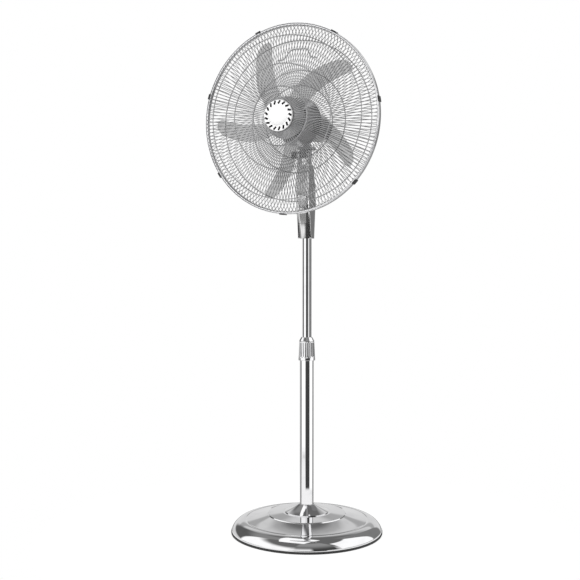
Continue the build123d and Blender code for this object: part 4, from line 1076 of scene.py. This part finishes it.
half = BAND_W / 2
band = spun("rim_band", box(BAND_R - BAND_WALL, BAND_R, -half, half, 0.0003, 3), on_fan, 288)
fit(band, chrome("band_chrome", 0.88, 0.04), "head", "chrome", "guard_rim_band")
hook = [(BAND_R, -half), (BAND_R, half), (BAND_R - CLIP_LIP, half), (BAND_R - CLIP_LIP, half + CLIP_T),
        (BAND_R + CLIP_T, half + CLIP_T), (BAND_R + CLIP_T, -half - CLIP_T), (BAND_R - CLIP_LIP, -half - CLIP_T),
        (BAND_R - CLIP_LIP, -half)]
clip_shapes = []
for i in range(CLIPS):
    turn = CLIP_AT + 2 * pi * i / CLIPS

    def on_rim(radius, ahead, across, turn=turn):
        return on_fan(radius, ahead, turn, across)

    clip_shapes.append(prism(hook, -CLIP_W / 2, CLIP_W / 2, on_rim))
clips = solid("rim_clips", *joined(*clip_shapes))
fit(soften(clips, 0.0004, 2), black_plastic, "head", "dark_plastic", "guard_clips")


# Badge: a plain bright disc pressed into the middle of the guard, in a moulded ring of slanted slots. Both stand on
# the guard's centre plate.

BADGE_R = 0.0255
BADGE_T = 0.003
BADGE_CROWN = 0.003
VENT_RING_R = 0.0385
VENT_RING_T = 0.0034
VENT_RING_BEVEL = 0.002
BADGE_SLOTS = 17
SLOT_W = 0.0052
SLOT_CORNER = 0.001
SLOT_SLANT = radians(32)
SLOT_MARGIN = 0.0015
SLOT_SPARE = 0.001

badge_foot = dome_ahead(0.0) + SPOKE_R
badge_brow = badge_foot + BADGE_T
badge_white = moulded("badge_white", (0.94, 0.94, 0.94), (0.98, 0.98, 0.98), 0.30, 0.38, 0.002, 0.00001, Metallic=0.7)
badge = spun("badge_disc", [(0.0, badge_foot), (BADGE_R, badge_foot), (BADGE_R, badge_brow - 0.0003)]
             + dome_line(BADGE_R - 0.0004, badge_brow, badge_brow + BADGE_CROWN), on_fan, 128)
fit(badge, badge_white, "head", "badge_white", "badge")


def slot(turn):
    """Shape of one slanted slot; its outer end leans clockwise."""
    middle = (BADGE_R + VENT_RING_R) / 2
    reach = (VENT_RING_R - BADGE_R - 2 * SLOT_MARGIN) / 2

    def place(along, across, ahead):
        out = middle + along * cos(SLOT_SLANT) + across * sin(SLOT_SLANT)
        return on_fan(out, ahead, turn, across * cos(SLOT_SLANT) - along * sin(SLOT_SLANT))

    return prism(box(-reach, reach, -SLOT_W / 2, SLOT_W / 2, SLOT_CORNER), badge_foot - SLOT_SPARE,
                 badge_foot + VENT_RING_T + SLOT_SPARE, place)


ring_top = badge_foot + VENT_RING_T
vent_ring = spun("badge_slot_ring", rounded(
    (BADGE_R, badge_foot), (VENT_RING_R, badge_foot), (VENT_RING_R, ring_top - 0.7 * VENT_RING_BEVEL, 0.0008),
    (VENT_RING_R - VENT_RING_BEVEL, ring_top, 0.0008), (BADGE_R, ring_top)), on_fan, 192)
cut(vent_ring, *[slot(2 * pi * i / BADGE_SLOTS) for i in range(BADGE_SLOTS)])
fit(vent_ring, badge_white, "head", "badge_white", "badge_vent_ring")


# Studio: a pale floor that keeps a soft shadow, a tent of white and grey cloth that only reflections show, two soft
# lamps, and the camera at the photograph's angle. Angles in the tent are degrees from the line to the camera.

CAMERA_AT = (0.96717, -2.24359, 0.71049)
CAMERA_TURN = (radians(88.23), 0.0, radians(24.35))
CAMERA_LENS = 58.146
CAMERA_SENSOR = 36.0
AMBIENT = 0.85
DEGREES = 180 / pi

scene = bpy.context.scene
scene.view_settings.view_transform = "Standard"
lens = bpy.data.cameras.new("camera")
lens.lens = CAMERA_LENS
lens.sensor_width = CAMERA_SENSOR
lens.sensor_fit = "HORIZONTAL"
camera = bpy.data.objects.new("camera", lens)
camera.location = CAMERA_AT
camera.rotation_euler = CAMERA_TURN
scene.collection.objects.link(camera)
scene.camera = camera

world = bpy.data.worlds.new("studio")
world.use_nodes = True
world.node_tree.nodes.clear()
room = Shade(world.node_tree)
rays = {name: room.make("LightPath", out=name) for name in ("Is Camera Ray", "Is Glossy Ray", "Is Transmission Ray")}
seen = room.sum("MINIMUM", rays["Is Camera Ray"] + rays["Is Glossy Ray"] + rays["Is Transmission Ray"], 1.0)
glow = room.make("Background", {}, {"Color": (1, 1, 1, 1), "Strength": AMBIENT + seen * (1.0 - AMBIENT)})
room.make("OutputWorld", {}, {"Surface": glow})
scene.world = world

FLOOR_R = 1.1
FLOOR_T = 0.002
FLOOR_DROP = 0.0001
PAPER = (0.92, 0.92, 0.92, 1)
PAPER_GLOW = 1.12

toward = Vector((CAMERA_AT[0], CAMERA_AT[1], 0.0)).normalized()


def bearing(shade, spot):
    """How far a spot lies towards the camera, how far aside of that line, and its angle from it."""
    ahead, aside = [shade.make("VectorMath", {"operation": "DOT_PRODUCT"}, {0: spot, 1: way}, "Value")
                    for way in (tuple(toward), (-toward.y, toward.x, 0.0))]
    return ahead, aside, shade.sum("ARCTAN2", aside, ahead) * DEGREES


floor = spun("floor", [(0.0, 0.0), (0.2, 0.0), (0.4, 0.0), (FLOOR_R, 0.0), (FLOOR_R, -FLOOR_T), (0.0, -FLOOR_T)],
             turns=96)
floor.location.z = -FLOOR_DROP
paint, shade = open_finish("floor_paper")
spot = shade.make("TexCoord", out="Object")
away = shade.make("VectorMath", {"operation": "LENGTH"}, {0: spot}, "Value")
glossy = shade.make("LightPath", out="Is Glossy Ray")
wide = away.between(0.40, 0.72)
ahead, aside, round_about = bearing(shade, spot)
left = 1.0 - round_about.between(-26, -19)
shown = ahead.between(-0.10, 0.05) * (1.0 - (away - 0.45 * left).between(0.46, 0.52))
fade = wide + glossy * (1.0 - shown - wide)
lit = shade.make("BsdfDiffuse", {}, {"Color": PAPER})
white = shade.make("Emission", {}, {"Color": (1, 1, 1, 1), "Strength": PAPER_GLOW})
direct = 0.72 * shade.make("LightPath", out="Is Camera Ray") + 0.5 * glossy
paper = shade.make("MixShader", {}, {0: direct, 1: lit, 2: white})
clear = shade.make("BsdfTransparent")
shade.make("OutputMaterial", {}, {"Surface": shade.make("MixShader", {}, {0: fade, 1: paper, 2: clear})})
floor.data.materials.append(paint)
floor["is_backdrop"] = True

TENT_R = 40.0
TENT_Z = 0.6
TENT_ROWS = 48
WHITE = 1.3

tent_turns = [pi * k / TENT_ROWS for k in range(TENT_ROWS + 1)]
tent_line = [(TENT_R * sin(a), TENT_Z - TENT_R * cos(a)) for a in tent_turns]
tent = spun("tent", tent_line + [(0.0, TENT_Z)], turns=96)
paint, shade = open_finish("tent_cloth")
spot = shade.make("TexCoord", out="Object")
spot = shade.make("VectorMath", {"operation": "SUBTRACT"}, {0: spot, 1: (0.0, 0.0, TENT_Z)})
spot = shade.make("VectorMath", {"operation": "NORMALIZE"}, {0: spot})
ahead, aside, round_about = bearing(shade, spot)
up = shade.make("SeparateXYZ", {}, {0: spot}, "Z")
height = shade.sum("ARCSINE", up) * DEGREES


def strip(value, low, high, soft=1.5):
    """1 between two values and 0 outside them, with soft edges."""
    return value.between(low - soft, low + soft) * (1.0 - value.between(high - soft, high + soft))


low = 1.0 - height.between(2, 4)
mast_low = low * height.between(-6, -5)
pole_low = low * (1.0 - height.between(-6, -5))
wall = (0.80 - 0.06 * height.between(4, 24) - 0.28 * strip(height, 17, 23.5) - 0.27 * height.between(28, 38)
        - 0.30 * height.between(37, 48))
grey_left = strip(round_about, -156, -112, 5) * height.between(3, 9)
grey_right = strip(round_about, 118, 150, 2) * (1.0 - height.between(58, 64))
left_top = height + 0.2 * round_about
left_wall = strip(round_about, -116, -27, 3) * (1.0 - left_top.between(21, 38))
dark_front = strip(round_about, -20, 48, 3) * strip(height, -24, 75, 3)
ground = strip(round_about, -80, -22, 5) * strip(height, -26, -12.5, 1)
front_glow = strip(round_about, -30, 8, 4) * height.between(3, 5) * (1.0 - height.between(18, 44))
right_box = strip(round_about, 54, 118) * height.between(4, 6) * (1.0 - height.between(58, 61))
mast_dark = mast_low * strip(round_about, -112, -70, 4)
mast_white = mast_low * strip(round_about, 30, 58, 2)
mast_grey = mast_low * strip(round_about, 58, 126, 4)
pole_white = pole_low * strip(round_about, 48, 104, 2)
pole_left = pole_low * (1.0 - round_about.between(-96, -84))
pole_right = pole_low * round_about.between(102, 108)
above = shade.sum("MAXIMUM", up, 0.05)
plan_x = shade.sum("DIVIDE", ahead, above)
plan_y = shade.sum("DIVIDE", aside, above)
ROOF_TURN = (0.365, 0.93)
along = ROOF_TURN[0] * plan_y - ROOF_TURN[1] * plan_x
across = ROOF_TURN[0] * plan_x + ROOF_TURN[1] * plan_y
roof_box = (strip(across, -0.42, 0.067, 0.01) * (along + 0.18 * across).between(-0.30, -0.28)
            * (1.0 - (along + 0.78 * across).between(0.305, 0.325)) * height.between(20, 25))
patches = ((grey_left, 0.13 + 0.16 * height.between(30, 48)), (grey_right, 0.24), (left_wall, WHITE), (ground, 0.24),
           (dark_front, 0.06 + 0.28 * height.between(25, 62)), (front_glow, WHITE), (right_box, WHITE),
           (mast_dark, 0.16), (mast_white, 0.95), (mast_grey, 0.24), (pole_white, WHITE), (pole_left, 0.38),
           (pole_right, 0.33), (roof_box, WHITE))
grey = wall
for patch, tone in patches:
    grey = grey + patch * (tone - grey)
cloth = shade.make("Emission", {}, {"Color": (1, 1, 1, 1), "Strength": grey})
shade.make("OutputMaterial", {}, {"Surface": cloth})
paint.cycles.emission_sampling = "NONE"
tent.data.materials.append(paint)
for unseen in ("visible_camera", "visible_diffuse", "visible_shadow", "visible_volume_scatter"):
    setattr(tent, unseen, False)
tent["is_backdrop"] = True

LAMP_AIM = Vector((0.0, -0.05, 0.7))
LAMPS = (("key_lamp", (-1.6, -2.2, 2.6), 1.6, 26.0), ("fill_lamp", (2.4, -0.8, 1.9), 1.4, 16.0))
for name, place, size, power in LAMPS:
    light = bpy.data.lights.new(name, "AREA")
    light.size = size
    light.energy = power
    lamp = bpy.data.objects.new(name, light)
    lamp.location = place
    lamp.rotation_euler = (LAMP_AIM - Vector(place)).to_track_quat("-Z", "Y").to_euler()
    lamp.visible_glossy = False
    scene.collection.objects.link(lamp)

boxes = [[list(corner) for corner in box] for box in (cad_box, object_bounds())]
